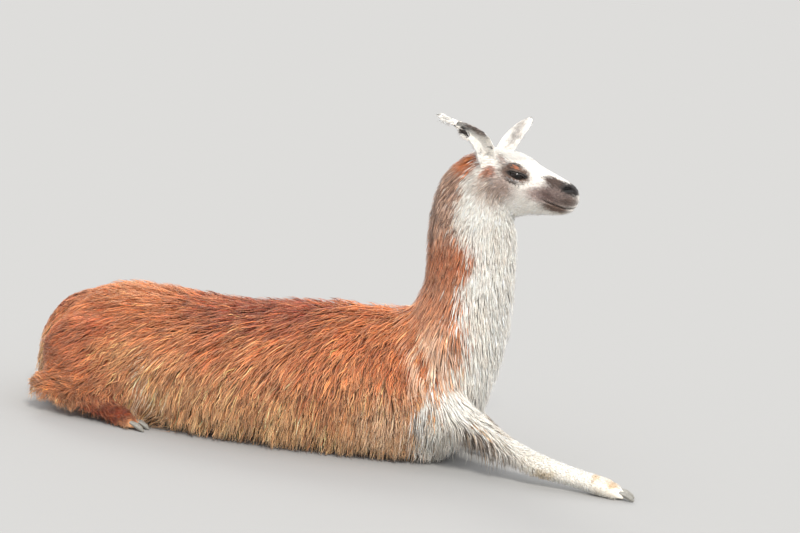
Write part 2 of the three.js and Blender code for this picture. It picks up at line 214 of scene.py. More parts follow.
@dataclass(frozen=True)
class Comb:
    """How the coat lies at one place: its way, its length and its depth over the skin.

    Metres for the place and millimetres for the coat. The left side is combed as the right one,
    except on the ears and forelegs, which differ.
    """

    at: Spot
    lie: Spot
    length: float
    depth: float


def comb_along(joints: Iterable[Spot], coats: Iterable[tuple[float, float]]) -> tuple[Comb, ...]:
    """Combs a limb or an ear from its first joint to its last.

    Args:
        joints: The places that the limb runs through.
        coats: The length and depth of the coat on each stretch.

    Returns:
        Two combs for each stretch, near its two ends.
    """
    spots = [np.array(spot) for spot in joints]
    made = []
    for start, end, (length, depth) in zip(spots, spots[1:], coats):
        lie = tuple(end - start)
        for share in (0.25, 0.75):
            made.append(Comb(tuple(start + (end - start) * share), lie, length, depth))
    return tuple(made)


COMBS: dict[Zone, tuple[Comb, ...]] = {
    Zone.TRUNK: (
        Comb((-0.70, 0.00, 0.24), (-0.35, 0.0, -1.0), 80, 20),
        Comb((-0.62, 0.00, 0.35), (-1.0, 0.05, -0.3), 85, 22),
        Comb((-0.45, 0.02, 0.40), (-1.0, 0.2, 0.0), 92, 25),
        Comb((-0.15, 0.03, 0.42), (-0.75, 0.5, 0.0), 100, 26),
        Comb((0.20, 0.03, 0.42), (-0.5, 0.6, 0.0), 105, 26),
        Comb((0.40, 0.04, 0.43), (-0.4, 0.6, -0.2), 95, 24),
        Comb((-0.62, 0.20, 0.25), (-0.8, 0.0, -0.6), 92, 23),
        Comb((-0.40, 0.26, 0.28), (-0.7, 0.0, -0.75), 108, 25),
        Comb((-0.10, 0.27, 0.28), (-0.42, 0.0, -0.9), 118, 27),
        Comb((0.20, 0.27, 0.28), (-0.25, 0.0, -1.0), 120, 27),
        Comb((0.38, 0.24, 0.30), (-0.05, 0.0, -1.0), 112, 26),
        Comb((-0.15, 0.27, 0.12), (-0.32, 0.02, -1.0), 112, 25),
        Comb((0.22, 0.27, 0.12), (-0.12, 0.02, -1.0), 115, 25),
        Comb((0.45, 0.16, 0.20), (0.12, 0.0, -1.0), 100, 25),
        Comb((0.54, 0.00, 0.16), (0.45, 0.0, -0.9), 88, 24),
        Comb((0.00, 0.00, 0.02), (-1.0, 0.2, 0.0), 45, 15),
        Comb((0.35, 0.05, 0.03), (0.3, 0.5, 0.0), 50, 15),
    ),
    Zone.NECK: (
        Comb((0.45, 0.00, 0.82), (-0.5, 0.0, -0.8), 52, 15),
        Comb((0.40, 0.00, 0.65), (-0.08, 0.1, -1.0), 62, 12),
        Comb((0.38, 0.00, 0.50), (-0.2, 0.25, -1.0), 72, 18),
        Comb((0.48, 0.10, 0.78), (-0.2, 0.0, -1.0), 42, 13),
        Comb((0.48, 0.12, 0.62), (-0.06, 0.0, -1.0), 55, 16),
        Comb((0.45, 0.18, 0.40), (-0.08, 0.1, -1.0), 80, 23),
        Comb((0.58, 0.00, 0.75), (0.0, 0.0, -1.0), 38, 11),
        Comb((0.60, 0.02, 0.60), (0.04, 0.03, -1.0), 55, 18),
        Comb((0.61, 0.02, 0.42), (0.12, 0.03, -1.0), 68, 21),
        Comb((0.61, 0.02, 0.26), (0.3, 0.03, -0.95), 82, 24),
        Comb((0.58, 0.12, 0.30), (0.15, 0.08, -1.0), 80, 23),
        Comb((0.54, 0.08, 0.81), (-0.75, 0.0, -0.65), 18, 5),
        Comb((0.60, 0.05, 0.74), (-0.3, 0.0, -1.0), 26, 8),
    ),
    Zone.HEAD: (
        Comb((0.80, 0.01, 0.78), (-0.9, 0.1, 0.2), 6, 1.0),
        Comb((0.78, 0.02, 0.74), (-0.9, 0.1, 0.1), 8, 1.5),
        Comb((0.72, 0.04, 0.80), (-0.97, 0.05, 0.24), 8, 1.5),
        Comb((0.70, 0.02, 0.74), (-0.95, 0.0, -0.2), 12, 2.5),
        Comb((0.66, 0.05, 0.79), (-0.95, 0.0, 0.1), 10, 2.5),
        Comb((0.68, 0.00, 0.85), (-0.97, 0.0, 0.24), 9, 2.0),
        Comb((0.60, 0.08, 0.79), (-0.9, 0.0, -0.3), 14, 3.5),
        Comb((0.56, 0.07, 0.74), (-0.7, 0.0, -0.7), 22, 6.0),
        Comb((0.62, 0.00, 0.89), (-0.95, 0.0, 0.3), 16, 4.5),
        Comb((0.55, 0.02, 0.91), (-0.9, 0.2, 0.3), 26, 6.0),
        Comb((0.55, 0.08, 0.85), (-0.8, 0.0, 0.1), 13, 3.5),
        Comb((0.48, 0.05, 0.86), (-0.6, 0.15, -0.7), 42, 9.0),
    ),
    Zone.EAR_RIGHT: comb_along(
        ((0.544, -0.054, 0.838), (0.521, -0.073, 0.903), (0.457, -0.097, 0.945), (0.403, -0.11, 0.966)),
        ((14, 1.5), (10, 1.5), (16, 3.0)),
    ),
    Zone.EAR_LEFT: comb_along(
        ((0.556, 0.05, 0.838), (0.579, 0.068, 0.904), (0.616, 0.086, 0.96), (0.63, 0.09, 0.977)),
        ((14, 1.5), (9, 1.2), (12, 2.0)),
    ),
    Zone.HIND: (
        Comb((-0.45, 0.22, 0.22), (-0.6, 0.0, -0.75), 86, 17),
        Comb((-0.34, 0.22, 0.13), (-0.45, 0.0, -0.9), 74, 15),
        Comb((-0.45, 0.24, 0.12), (-0.85, 0.0, -0.5), 76, 15),
        Comb((-0.56, 0.24, 0.09), (-1.0, 0.0, -0.1), 64, 12),
        Comb((-0.64, 0.22, 0.09), (-1.0, 0.0, 0.1), 50, 9),
        Comb((-0.56, 0.22, 0.035), (0.9, 0.0, -0.1), 22, 5),
        Comb((-0.44, 0.22, 0.035), (1.0, 0.0, -0.05), 20, 4),
        Comb((-0.36, 0.22, 0.02), (1.0, 0.0, -0.2), 10, 2),
    ),
    Zone.FORE_RIGHT: comb_along(
        ((0.52, -0.15, 0.172), (0.775, -0.141, 0.06), (0.968, -0.136, 0.027), (1.03, -0.133, 0.012)),
        ((40, 10), (15, 3.5), (9, 1.5)),
    )
    + (
        Comb((0.55, -0.17, 0.10), (0.2, 0.0, -1.0), 120, 12),
        Comb((0.62, -0.17, 0.08), (0.3, 0.0, -1.0), 110, 10),
        Comb((0.69, -0.16, 0.05), (0.5, 0.0, -0.9), 60, 7),
    ),
    Zone.FORE_LEFT: comb_along(
        ((0.41, 0.138, 0.196), (0.648, 0.074, 0.05), (0.456, 0.15, 0.031), (0.40, 0.165, 0.03)),
        ((34, 9), (16, 3.5), (9, 1.5)),
    ),
    Zone.TAIL: comb_along(
        ((-0.54, 0.0, 0.328), (-0.655, 0.0, 0.248), (-0.694, 0.0, 0.116), (-0.698, 0.0, 0.066)),
        ((70, 9), (80, 9), (60, 5)),
    ),
}


# ---------------------------------------------------------------- markings


@dataclass(frozen=True)
class Marking:
    """One soft-edged patch of colour, the same on the skin and on the hair that grows there."""

    name: str
    colour: str
    at: Spot
    reach: Spot
    zones: tuple[Zone, ...]
    turn: float = 0.0
    edge: float = 0.35
    full: float = 1.0
    crisp: bool = False

    def cover(self, points: np.ndarray, codes: np.ndarray) -> np.ndarray:
        """Gives how far the patch covers each point, from 0 to 1."""
        cos, sin = math.cos(math.radians(self.turn)), math.sin(math.radians(self.turn))
        away = points - np.array(self.at)
        away[:, 1] = np.abs(points[:, 1]) - self.at[1]
        ahead = away[:, 0] * cos + away[:, 2] * sin
        above = -away[:, 0] * sin + away[:, 2] * cos
        spread = np.stack([ahead, away[:, 1], above], axis=1) / np.array(self.reach)
        inside = ease(1 + self.edge, 1 - self.edge, np.linalg.norm(spread, axis=1))
        return inside * self.full * np.isin(codes, [zone.code for zone in self.zones])


HEAD_LIKE = (Zone.HEAD,)
CHEEK = (Zone.HEAD, Zone.NECK)
EARS = (Zone.EAR_RIGHT, Zone.EAR_LEFT)
REAR = (Zone.TRUNK, Zone.HIND, Zone.TAIL)
FORE = (Zone.FORE_RIGHT, Zone.FORE_LEFT)

MARKINGS: tuple[Marking, ...] = (
    Marking("back_dark", "#7b2f20", (0.01, 0.08, 0.385), (0.26, 0.16, 0.065), REAR, 8, full=0.92),
    # Painted highlight: the top of the rump is made lighter and pinker where it catches the light.
    Marking("rump_top_highlight", "#dd9c78", (-0.44, 0.06, 0.375), (0.15, 0.14, 0.03), REAR, full=0.75),
    Marking("haunch_red", "#9f3f1b", (-0.52, 0.20, 0.23), (0.17, 0.13, 0.10), REAR, 0, 0.5, 0.7),
    Marking("tail_ridge", "#8a432d", (-0.61, 0.0, 0.31), (0.11, 0.035, 0.06), REAR, 35, full=0.8),
    Marking("rear_edge", "#e2b08a", (-0.69, 0.0, 0.17), (0.03, 0.10, 0.075), REAR, full=0.8),
    Marking("tail_under", "#efe3d3", (-0.705, 0.0, 0.095), (0.025, 0.035, 0.035), REAR),
    Marking("thigh_gold", "#e6a76a", (-0.375, 0.25, 0.230), (0.09, 0.09, 0.045), REAR, 10, 0.5, 0.6),
    Marking("thigh_rich", "#ad5829", (-0.530, 0.24, 0.115), (0.14, 0.10, 0.065), REAR, 10, 0.5, 0.85),
    Marking("gaskin_red", "#a5522c", (-0.375, 0.25, 0.150), (0.045, 0.08, 0.05), REAR, 0, 0.5, 0.6),
    Marking("haunch_strip", "#f8e3c4", (-0.290, 0.26, 0.170), (0.090, 0.07, 0.019), REAR, -73, 0.3),
    Marking("shank_red", "#83320f", (-0.42, 0.22, 0.045), (0.10, 0.08, 0.052), REAR, 5, 0.35),
    Marking("hock_pale", "#e3b48c", (-0.66, 0.22, 0.11), (0.03, 0.05, 0.03), REAR, full=0.6),
    Marking("shoulder_pale", "#f3d6b6", (0.38, 0.26, 0.13), (0.09, 0.09, 0.11), REAR, 0, 0.6, 0.85),
    Marking("flap_pale", "#e9cdb2", (0.15, 0.26, 0.05), (0.022, 0.06, 0.045), REAR, full=0.9),
    Marking("neck_foot_pale", "#e4c0a4", (0.455, 0.18, 0.33), (0.06, 0.10, 0.10), CHEEK, 0, 0.6, 0.8),
    Marking("neck_rust", "#9c4a28", (0.48, 0.10, 0.60), (0.06, 0.09, 0.055), (Zone.NECK,), 0, 0.4, 0.6),
    Marking("neck_dusk", "#6d4a3b", (0.44, 0.08, 0.525), (0.06, 0.10, 0.022), (Zone.NECK,), -20, 0.5, 0.45),
    Marking("nape_tuft", "#b3521a", (0.487, 0.03, 0.858), (0.031, 0.06, 0.038), CHEEK),
    Marking("behind_eye", "#ad5a30", (0.547, 0.080, 0.827), (0.023, 0.04, 0.019), CHEEK, 40, full=0.9),
    Marking("cheek_grey", "#8a6f62", (0.582, 0.08, 0.790), (0.044, 0.06, 0.040), CHEEK, -30, 0.6, 0.85),
    Marking("cheek_back", "#b39684", (0.535, 0.08, 0.790), (0.022, 0.05, 0.030), CHEEK, 0, 0.6, 0.5),
    Marking("temple_spot", "#84716a", (0.576, 0.055, 0.866), (0.011, 0.03, 0.018), HEAD_LIKE, 60, full=0.9),
    Marking("eye_surround", "#5f4d43", (0.619, 0.075, 0.835), (0.050, 0.04, 0.026), HEAD_LIKE, -12, 0.3),
    # Painted shade: a near-black line in the fold above the eye, under the overhanging lid.
    Marking("upper_fold_shade", "#2a201b", (0.618, 0.07, 0.8590), (0.044, 0.03, 0.0044), HEAD_LIKE, -6),
    Marking("brow_red", "#9c5c3e", (0.616, 0.07, 0.8505), (0.015, 0.03, 0.0030), HEAD_LIKE, -8, full=0.8),
    Marking("lower_lid", "#a39e9b", (0.620, 0.08, 0.8155), (0.026, 0.03, 0.0032), HEAD_LIKE, -12, full=0.9),
    # Painted shade: a dark line in the fold below the lower lid.
    Marking("under_lid_shade", "#2c2420", (0.613, 0.08, 0.8088), (0.028, 0.03, 0.0028), HEAD_LIKE, -16, full=0.9),
    Marking("eye_rim", "#120d0b", (0.626, 0.08, 0.8315), (0.034, 0.04, 0.0094), HEAD_LIKE, -8, 0.2, crisp=True),
    Marking("muzzle_soft", "#8d726c", (0.690, 0.05, 0.782), (0.040, 0.05, 0.020), HEAD_LIKE, -14, 0.6, 0.85),
    Marking("muzzle", "#503d38", (0.740, 0.045, 0.785), (0.056, 0.055, 0.033), HEAD_LIKE, -14, 0.4, 0.95),
    Marking("muzzle_top", "#43352f", (0.730, 0.035, 0.820), (0.036, 0.032, 0.015), HEAD_LIKE, -14),
    Marking("upper_lip", "#493b34", (0.778, 0.035, 0.772), (0.028, 0.035, 0.014), HEAD_LIKE, 0, 0.5, 0.8),
    Marking("nose_bridge", "#f4efe9", (0.70, 0.0, 0.852), (0.08, 0.02, 0.018), HEAD_LIKE, -14),
    Marking("nose_dark", "#171210", (0.780, 0.020, 0.806), (0.038, 0.044, 0.0185), HEAD_LIKE, -5, 0.35),
    # Painted shade: the sunk nostril pits are filled near-black.
    Marking("nostril", "#100c0b", (0.766, 0.034, 0.806), (0.018, 0.022, 0.0075), HEAD_LIKE, 10, 0.3, crisp=True),
    Marking("lower_lip", "#57443a", (0.737, 0.035, 0.748), (0.044, 0.035, 0.013), HEAD_LIKE, -10, 0.5),
    Marking("lip_front", "#efe9e2", (0.808, 0.0, 0.771), (0.012, 0.03, 0.016), HEAD_LIKE),
    Marking("ear_back", "#776b66", (0.506, 0.085, 0.937), (0.042, 0.03, 0.012), (Zone.EAR_RIGHT,), -28),
    # Painted shade: the hollow inside the right ear's fold is darkened.
    Marking("ear_hollow_shade", "#1f1916", (0.472, 0.10, 0.930), (0.019, 0.03, 0.0085), (Zone.EAR_RIGHT,), -35),
    Marking("ear_middle", "#7d7672", (0.588, 0.078, 0.920), (0.056, 0.05, 0.0145), (Zone.EAR_LEFT,), 68, 0.6, 0.85),
    Marking("ear_speck", "#4a423e", (0.543, 0.06, 0.894), (0.006, 0.03, 0.005), EARS, full=0.9),
    Marking("ear_speck_low", "#5a514c", (0.517, 0.065, 0.873), (0.008, 0.03, 0.006), EARS, full=0.9),
    Marking("elbow_brown", "#7a4830", (0.602, 0.17, 0.232), (0.024, 0.09, 0.028), (*FORE, Zone.NECK), -45),
    # Painted shade: the white underside of the forelegs is darkened brown-grey where shade falls under the breast
    # and forearm.
    Marking("forearm_under_shade", "#6f5b4d", (0.61, 0.15, 0.095), (0.11, 0.14, 0.042), FORE, -24, 0.5, 0.85),
    Marking("forearm_orange", "#c4905f", (0.60, 0.16, 0.148), (0.015, 0.08, 0.008), FORE, full=0.8),
    Marking("knee_brown", "#b68c68", (0.742, 0.15, 0.112), (0.014, 0.05, 0.009), FORE, full=0.8),
    Marking("cannon_stain", "#cdb68c", (0.80, 0.15, 0.04), (0.035, 0.05, 0.014), FORE, full=0.7),
    Marking("fetlock_stain", "#cb9d62", (0.945, 0.14, 0.052), (0.012, 0.04, 0.01), FORE, full=0.7),
    Marking("pastern_stain", "#c99a5e", (1.0, 0.14, 0.042), (0.02, 0.04, 0.01), FORE, full=0.7),
    # Painted shade: the folded left knee, lying under the outstretched foreleg, is darkened grey-brown.
    Marking("folded_knee_shade", "#8b786b", (0.63, 0.074, 0.05), (0.05, 0.06, 0.05), (Zone.FORE_LEFT,)),
)

# How far forward the brown coat reaches at each height: (height, ahead), in metres.
BROWN_FRONT = (
    (0.000, 0.425),
    (0.098, 0.433),
    (0.161, 0.461),
    (0.225, 0.486),
    (0.279, 0.520),
    (0.347, 0.536),
    (0.408, 0.537),
    (0.463, 0.523),
    (0.508, 0.511),
    (0.545, 0.519),
    (0.583, 0.533),
    (0.614, 0.526),
    (0.652, 0.503),
    (0.698, 0.478),
    (0.757, 0.474),
    (0.818, 0.505),
    (0.860, 0.505),
    (0.900, 0.440),
)


@dataclass(frozen=True)
class Palette:
    """The coat's ground colours and its patches, read off the same way for skin and hair."""

    rust: str = "#c26a3a"
    deep: str = "#8c4124"
    pale: str = "#dc9463"
    buff: str = "#f0bf88"
    nape: str = "#b48e79"
    nape_streak: str = "#5d3e2f"
    neck_brown: str = "#b6704f"
    white: str = "#fbf4e7"
    cream: str = "#f3e8d5"
    face: str = "#f8f3eb"

    def tint(self, points: np.ndarray, codes: np.ndarray) -> np.ndarray:
        """Gives the colour of the coat at each point.

        Args:
            points: Places on the skin.
            codes: Each place's zone.

        Returns:
            Rows of linear colour.
        """
        broad, small = Wobble(0.12, 3).at(points), Wobble(0.03, 4).at(points)
        on_head = (codes == Zone.HEAD.code)[:, None]
        warped = points + 0.004 * np.stack([Wobble(0.02, 5 + k).at(points) for k in range(3)], axis=1)
        fine = points + 0.0030 * np.stack([Wobble(0.007, 8 + k).at(points) for k in range(3)], axis=1)
        warped = np.where(on_head, fine, warped)
        brown = self.brown(points, codes, broad, small)
        mixed = self.white_ground(points, codes, broad, small)
        mixed += (brown - mixed) * self.brown_share(points, codes)[:, None]
        for marking in MARKINGS:
            share = marking.cover(points if marking.crisp else warped, codes)[:, None]
            mixed += (np.array(linear(marking.colour)) - mixed) * share
        return mixed

    def brown_share(self, points: np.ndarray, codes: np.ndarray) -> np.ndarray:
        """Gives how brown each point is: all behind the front line, and no head, ear or foreleg."""
        heights, fronts = zip(*BROWN_FRONT)
        front = np.interp(points[:, 2], heights, fronts)
        front += 0.009 * Wobble(0.05, 11).at(points) + 0.004 * Wobble(0.012, 12).at(points)
        low_neck = ease(0.14, 0.26, points[:, 2]) * ease(0.54, 0.44, points[:, 2])
        front -= 0.040 * low_neck * ease(0.1, 0.9, Wobble(0.016, 31).at(points * (1, 1, 0.14)))
        share = ease(0.010, -0.010, points[:, 0] - front)
        bare = [zone.code for zone in (Zone.HEAD, *EARS, *FORE)]
        return share * ~np.isin(codes, bare)

    def brown(
        self, points: np.ndarray, codes: np.ndarray, broad: np.ndarray, small: np.ndarray
    ) -> np.ndarray:
        """Gives the brown ground: rust on the trunk, paler low down, and grey-brown up the nape."""
        mixed = np.repeat(np.array([linear(self.rust)]), len(points), axis=0)
        high = ease(0.07, 0.31, points[:, 2] + 0.03 * broad)
        low = (1 - high)[:, None]
        mixed += (np.array(linear(self.buff)) - mixed) * low * 0.85
        swept = Wobble(0.035, 23).at(points * (1, 1, 0.3))
        dark = ease(-0.1, 1.0, broad * 0.5 + swept * 0.7)[:, None] * 0.62
        mixed += (np.array(linear(self.deep)) - mixed) * dark
        light = ease(0.2, 1.1, -broad * 0.5 - swept * 0.7)[:, None] * 0.5
        mixed += (np.array(linear(self.pale)) - mixed) * light
        on_neck = (codes == Zone.NECK.code) | (codes == Zone.HEAD.code)
        up = on_neck * ease(0.33, 0.45, points[:, 2])
        mixed += (np.array(linear(self.neck_brown)) - mixed) * up[:, None] * 0.7
        grey = on_neck * ease(0.60, 0.70, points[:, 2] + 0.02 * small)
        streaks = ease(0.1, 0.7, Wobble(0.010, 21).at(points * np.array([1, 1, 0.2])))
        mixed += (np.array(linear(self.nape)) - mixed) * grey[:, None]
        mixed += (np.array(linear(self.nape_streak)) - mixed) * (grey * streaks * 0.9)[:, None]
        return mixed

    def white_ground(
        self, points: np.ndarray, codes: np.ndarray, broad: np.ndarray, small: np.ndarray
    ) -> np.ndarray:
        """Gives the white ground: clean on the head, and creamier on the neck and legs."""
        mixed = np.repeat(np.array([linear(self.white)]), len(points), axis=0)
        cream = ease(0.0, 1.2, broad + 0.5 * small)[:, None] * 0.6
        mixed += (np.array(linear(self.cream)) - mixed) * cream
        on_head = np.isin(codes, [zone.code for zone in (Zone.HEAD, *EARS)])[:, None]
        return mixed + (np.array(linear(self.face)) - mixed) * on_head * 0.8


# ---------------------------------------------------------------- skin


@dataclass(frozen=True)
class Swelling:
    """A rounded form of the face that the skin is grown over."""

    at: Spot
    reach: Spot
    pitch: float = 14.0
    sides: tuple[int, ...] = (1, -1)
    zone: Zone = Zone.HEAD


@dataclass
class Face:
    """The head's finer forms: lids, brow, nostrils, mouth and ear tip."""

    eye: Spot = (0.624, 0.063, 0.828)
    ball: float = 0.020
    opening: tuple[float, float] = (0.0225, 0.0068)
    droop: float = 1.45
    # Painted shade: the colour laid along the groove between the lips.
    mouth_shade_colour: str = "#35261f"
    pitch: float = 14.0
    nostril: Spot = (0.765, 0.034, 0.806)
    nostril_size: tuple[float, float] = (0.0150, 0.0050)
    nostril_depth: float = 0.011
    mouth: tuple[tuple[float, float], ...] = (
        (0.700, 0.7700),
        (0.716, 0.7630),
        (0.738, 0.7570),
        (0.758, 0.7525),
        (0.777, 0.7530),
        (0.806, 0.7560),
    )
    swellings: tuple[Swelling, ...] = (
        Swelling((0.624, 0.063, 0.828), (0.0232, 0.0232, 0.0232)),
        Swelling((0.620, 0.058, 0.8505), (0.036, 0.017, 0.0095)),
        Swelling((0.620, 0.060, 0.807), (0.032, 0.016, 0.008)),
        Swelling((0.424, 0.104, 0.958), (0.032, 0.006, 0.0110), 21.0, (-1,), Zone.EAR_RIGHT),
        Swelling((0.411, 0.107, 0.963), (0.016, 0.005, 0.0125), 21.0, (-1,), Zone.EAR_RIGHT),
        Swelling((0.474, 0.092, 0.923), (0.024, 0.005, 0.0130), 33.0, (-1,), Zone.EAR_RIGHT),
    )

    def frame_at(self, spot: Spot, side: int, out: Spot) -> tuple[np.ndarray, np.ndarray]:
        """Gives a place on one side of the face with its own ahead, out and up directions.

        Args:
            spot: The place on the left side.
            side: 1 for the left side and -1 for the right one.
            out: The way outwards on the left side.

        Returns:
            The place, and the three directions as rows.
        """
        centre = np.array(spot) * (1, side, 1)
        away = unit(np.array(out) * (1, side, 1))
        ahead = np.array([math.cos(math.radians(self.pitch)), 0, -math.sin(math.radians(self.pitch))])
        ahead = unit(ahead - away * (ahead @ away))
        return centre, np.stack([ahead, away, np.cross(ahead, away) * side])

    def eye_frame(self, side: int) -> tuple[np.ndarray, np.ndarray]:
        """Gives the eye's place and directions on one side."""
        return self.frame_at(self.eye, side, (0.24, 1.0, 0.06))

    def opening_share(self, points: np.ndarray, side: int) -> np.ndarray:
        """Measures each point against the edge between the lids: 1 on it, less inside it."""
        centre, ways = self.eye_frame(side)
        local = (points - centre) @ ways.T
        long, tall = self.opening
        height = local[:, 2] / np.where(local[:, 2] > 0, tall, tall * self.droop)
        share = np.sqrt((np.abs(local[:, 0]) / long) ** 2 + np.abs(height) ** 2)
        return np.where(local[:, 1] > 0, share, 9.0)

    def open_eyes(self, points: np.ndarray) -> np.ndarray:
        """Opens the lids over both eyes, with a fold above and one below."""
        moved = points.copy()
        for side in (1, -1):
            centre, ways = self.eye_frame(side)
            away = points - centre
            far = np.linalg.norm(away, axis=1)
            share = self.opening_share(points, side)
            open_ = ease(1.22, 0.86, share) * (far < self.ball + 0.012)
            deep = self.ball - 0.0045
            moved += unit(away) * ((deep - far) * open_)[:, None]
            rim = np.exp(-(((share - 1.42) / 0.22) ** 2)) * (far < self.ball + 0.014)
            moved += unit(away) * (0.0012 * rim)[:, None]
            fold = np.exp(-(((share - 2.15) / 0.22) ** 2)) * (far < self.ball + 0.016)
            moved -= unit(away) * (0.0022 * fold)[:, None]
        return moved

    def open_nostrils(self, points: np.ndarray) -> np.ndarray:
        """Sinks the two comma-shaped nostrils and raises their rims."""
        moved = points.copy()
        for side in (1, -1):
            centre, ways = self.frame_at(self.nostril, side, (0.45, 0.9, 0.05))
            local = (points - centre) @ ways.T
            tilt = math.radians(30)
            long = local[:, 0] * math.cos(tilt) + local[:, 2] * math.sin(tilt)
            tall = -local[:, 0] * math.sin(tilt) + local[:, 2] * math.cos(tilt)
            tall = tall + 0.0035 * (long / self.nostril_size[0]) ** 2
            share = np.hypot(long / self.nostril_size[0], tall / self.nostril_size[1])
            near = np.abs(local[:, 1]) < 0.02
            pit = ease(1.25, 0.45, share) * near
            rim = np.exp(-(((share - 1.75) / 0.45) ** 2)) * near
            moved += ways[1] * (0.0016 * rim - self.nostril_depth * pit)[:, None]
        return moved

    def mouth_line(self, points: np.ndarray) -> np.ndarray:
        """Gives 1 on the line between the lips and falls to 0 beside it."""
        xs, zs = (np.array(row) for row in zip(*self.mouth))
        away = points[:, 2] - np.interp(points[:, 0], xs, zs)
        return np.exp(-((away / 0.0022) ** 2)) * ease(xs[0] - 0.006, xs[0] + 0.006, points[:, 0])

    def part_lips(self, points: np.ndarray, out: np.ndarray) -> np.ndarray:
        """Draws the mouth line, fills the lips beside it and parts the upper lip in front."""
        xs, zs = (np.array(row) for row in zip(*self.mouth))
        line = np.interp(points[:, 0], xs, zs)
        fore = ease(xs[0] - 0.006, xs[0] + 0.006, points[:, 0])
        away = points[:, 2] - line
        groove = -0.0046 * np.exp(-((away / 0.0019) ** 2))
        lips = 0.0016 * np.exp(-(((np.abs(away) - 0.006) / 0.0035) ** 2))
        cleft = -0.0022 * np.exp(-((points[:, 1] / 0.0018) ** 2))
        cleft *= ease(0.755, 0.760, points[:, 2]) * ease(0.800, 0.788, points[:, 2])
        cleft *= ease(0.785, 0.795, points[:, 0])
        return points + out * ((groove + lips) * fore + cleft)[:, None]


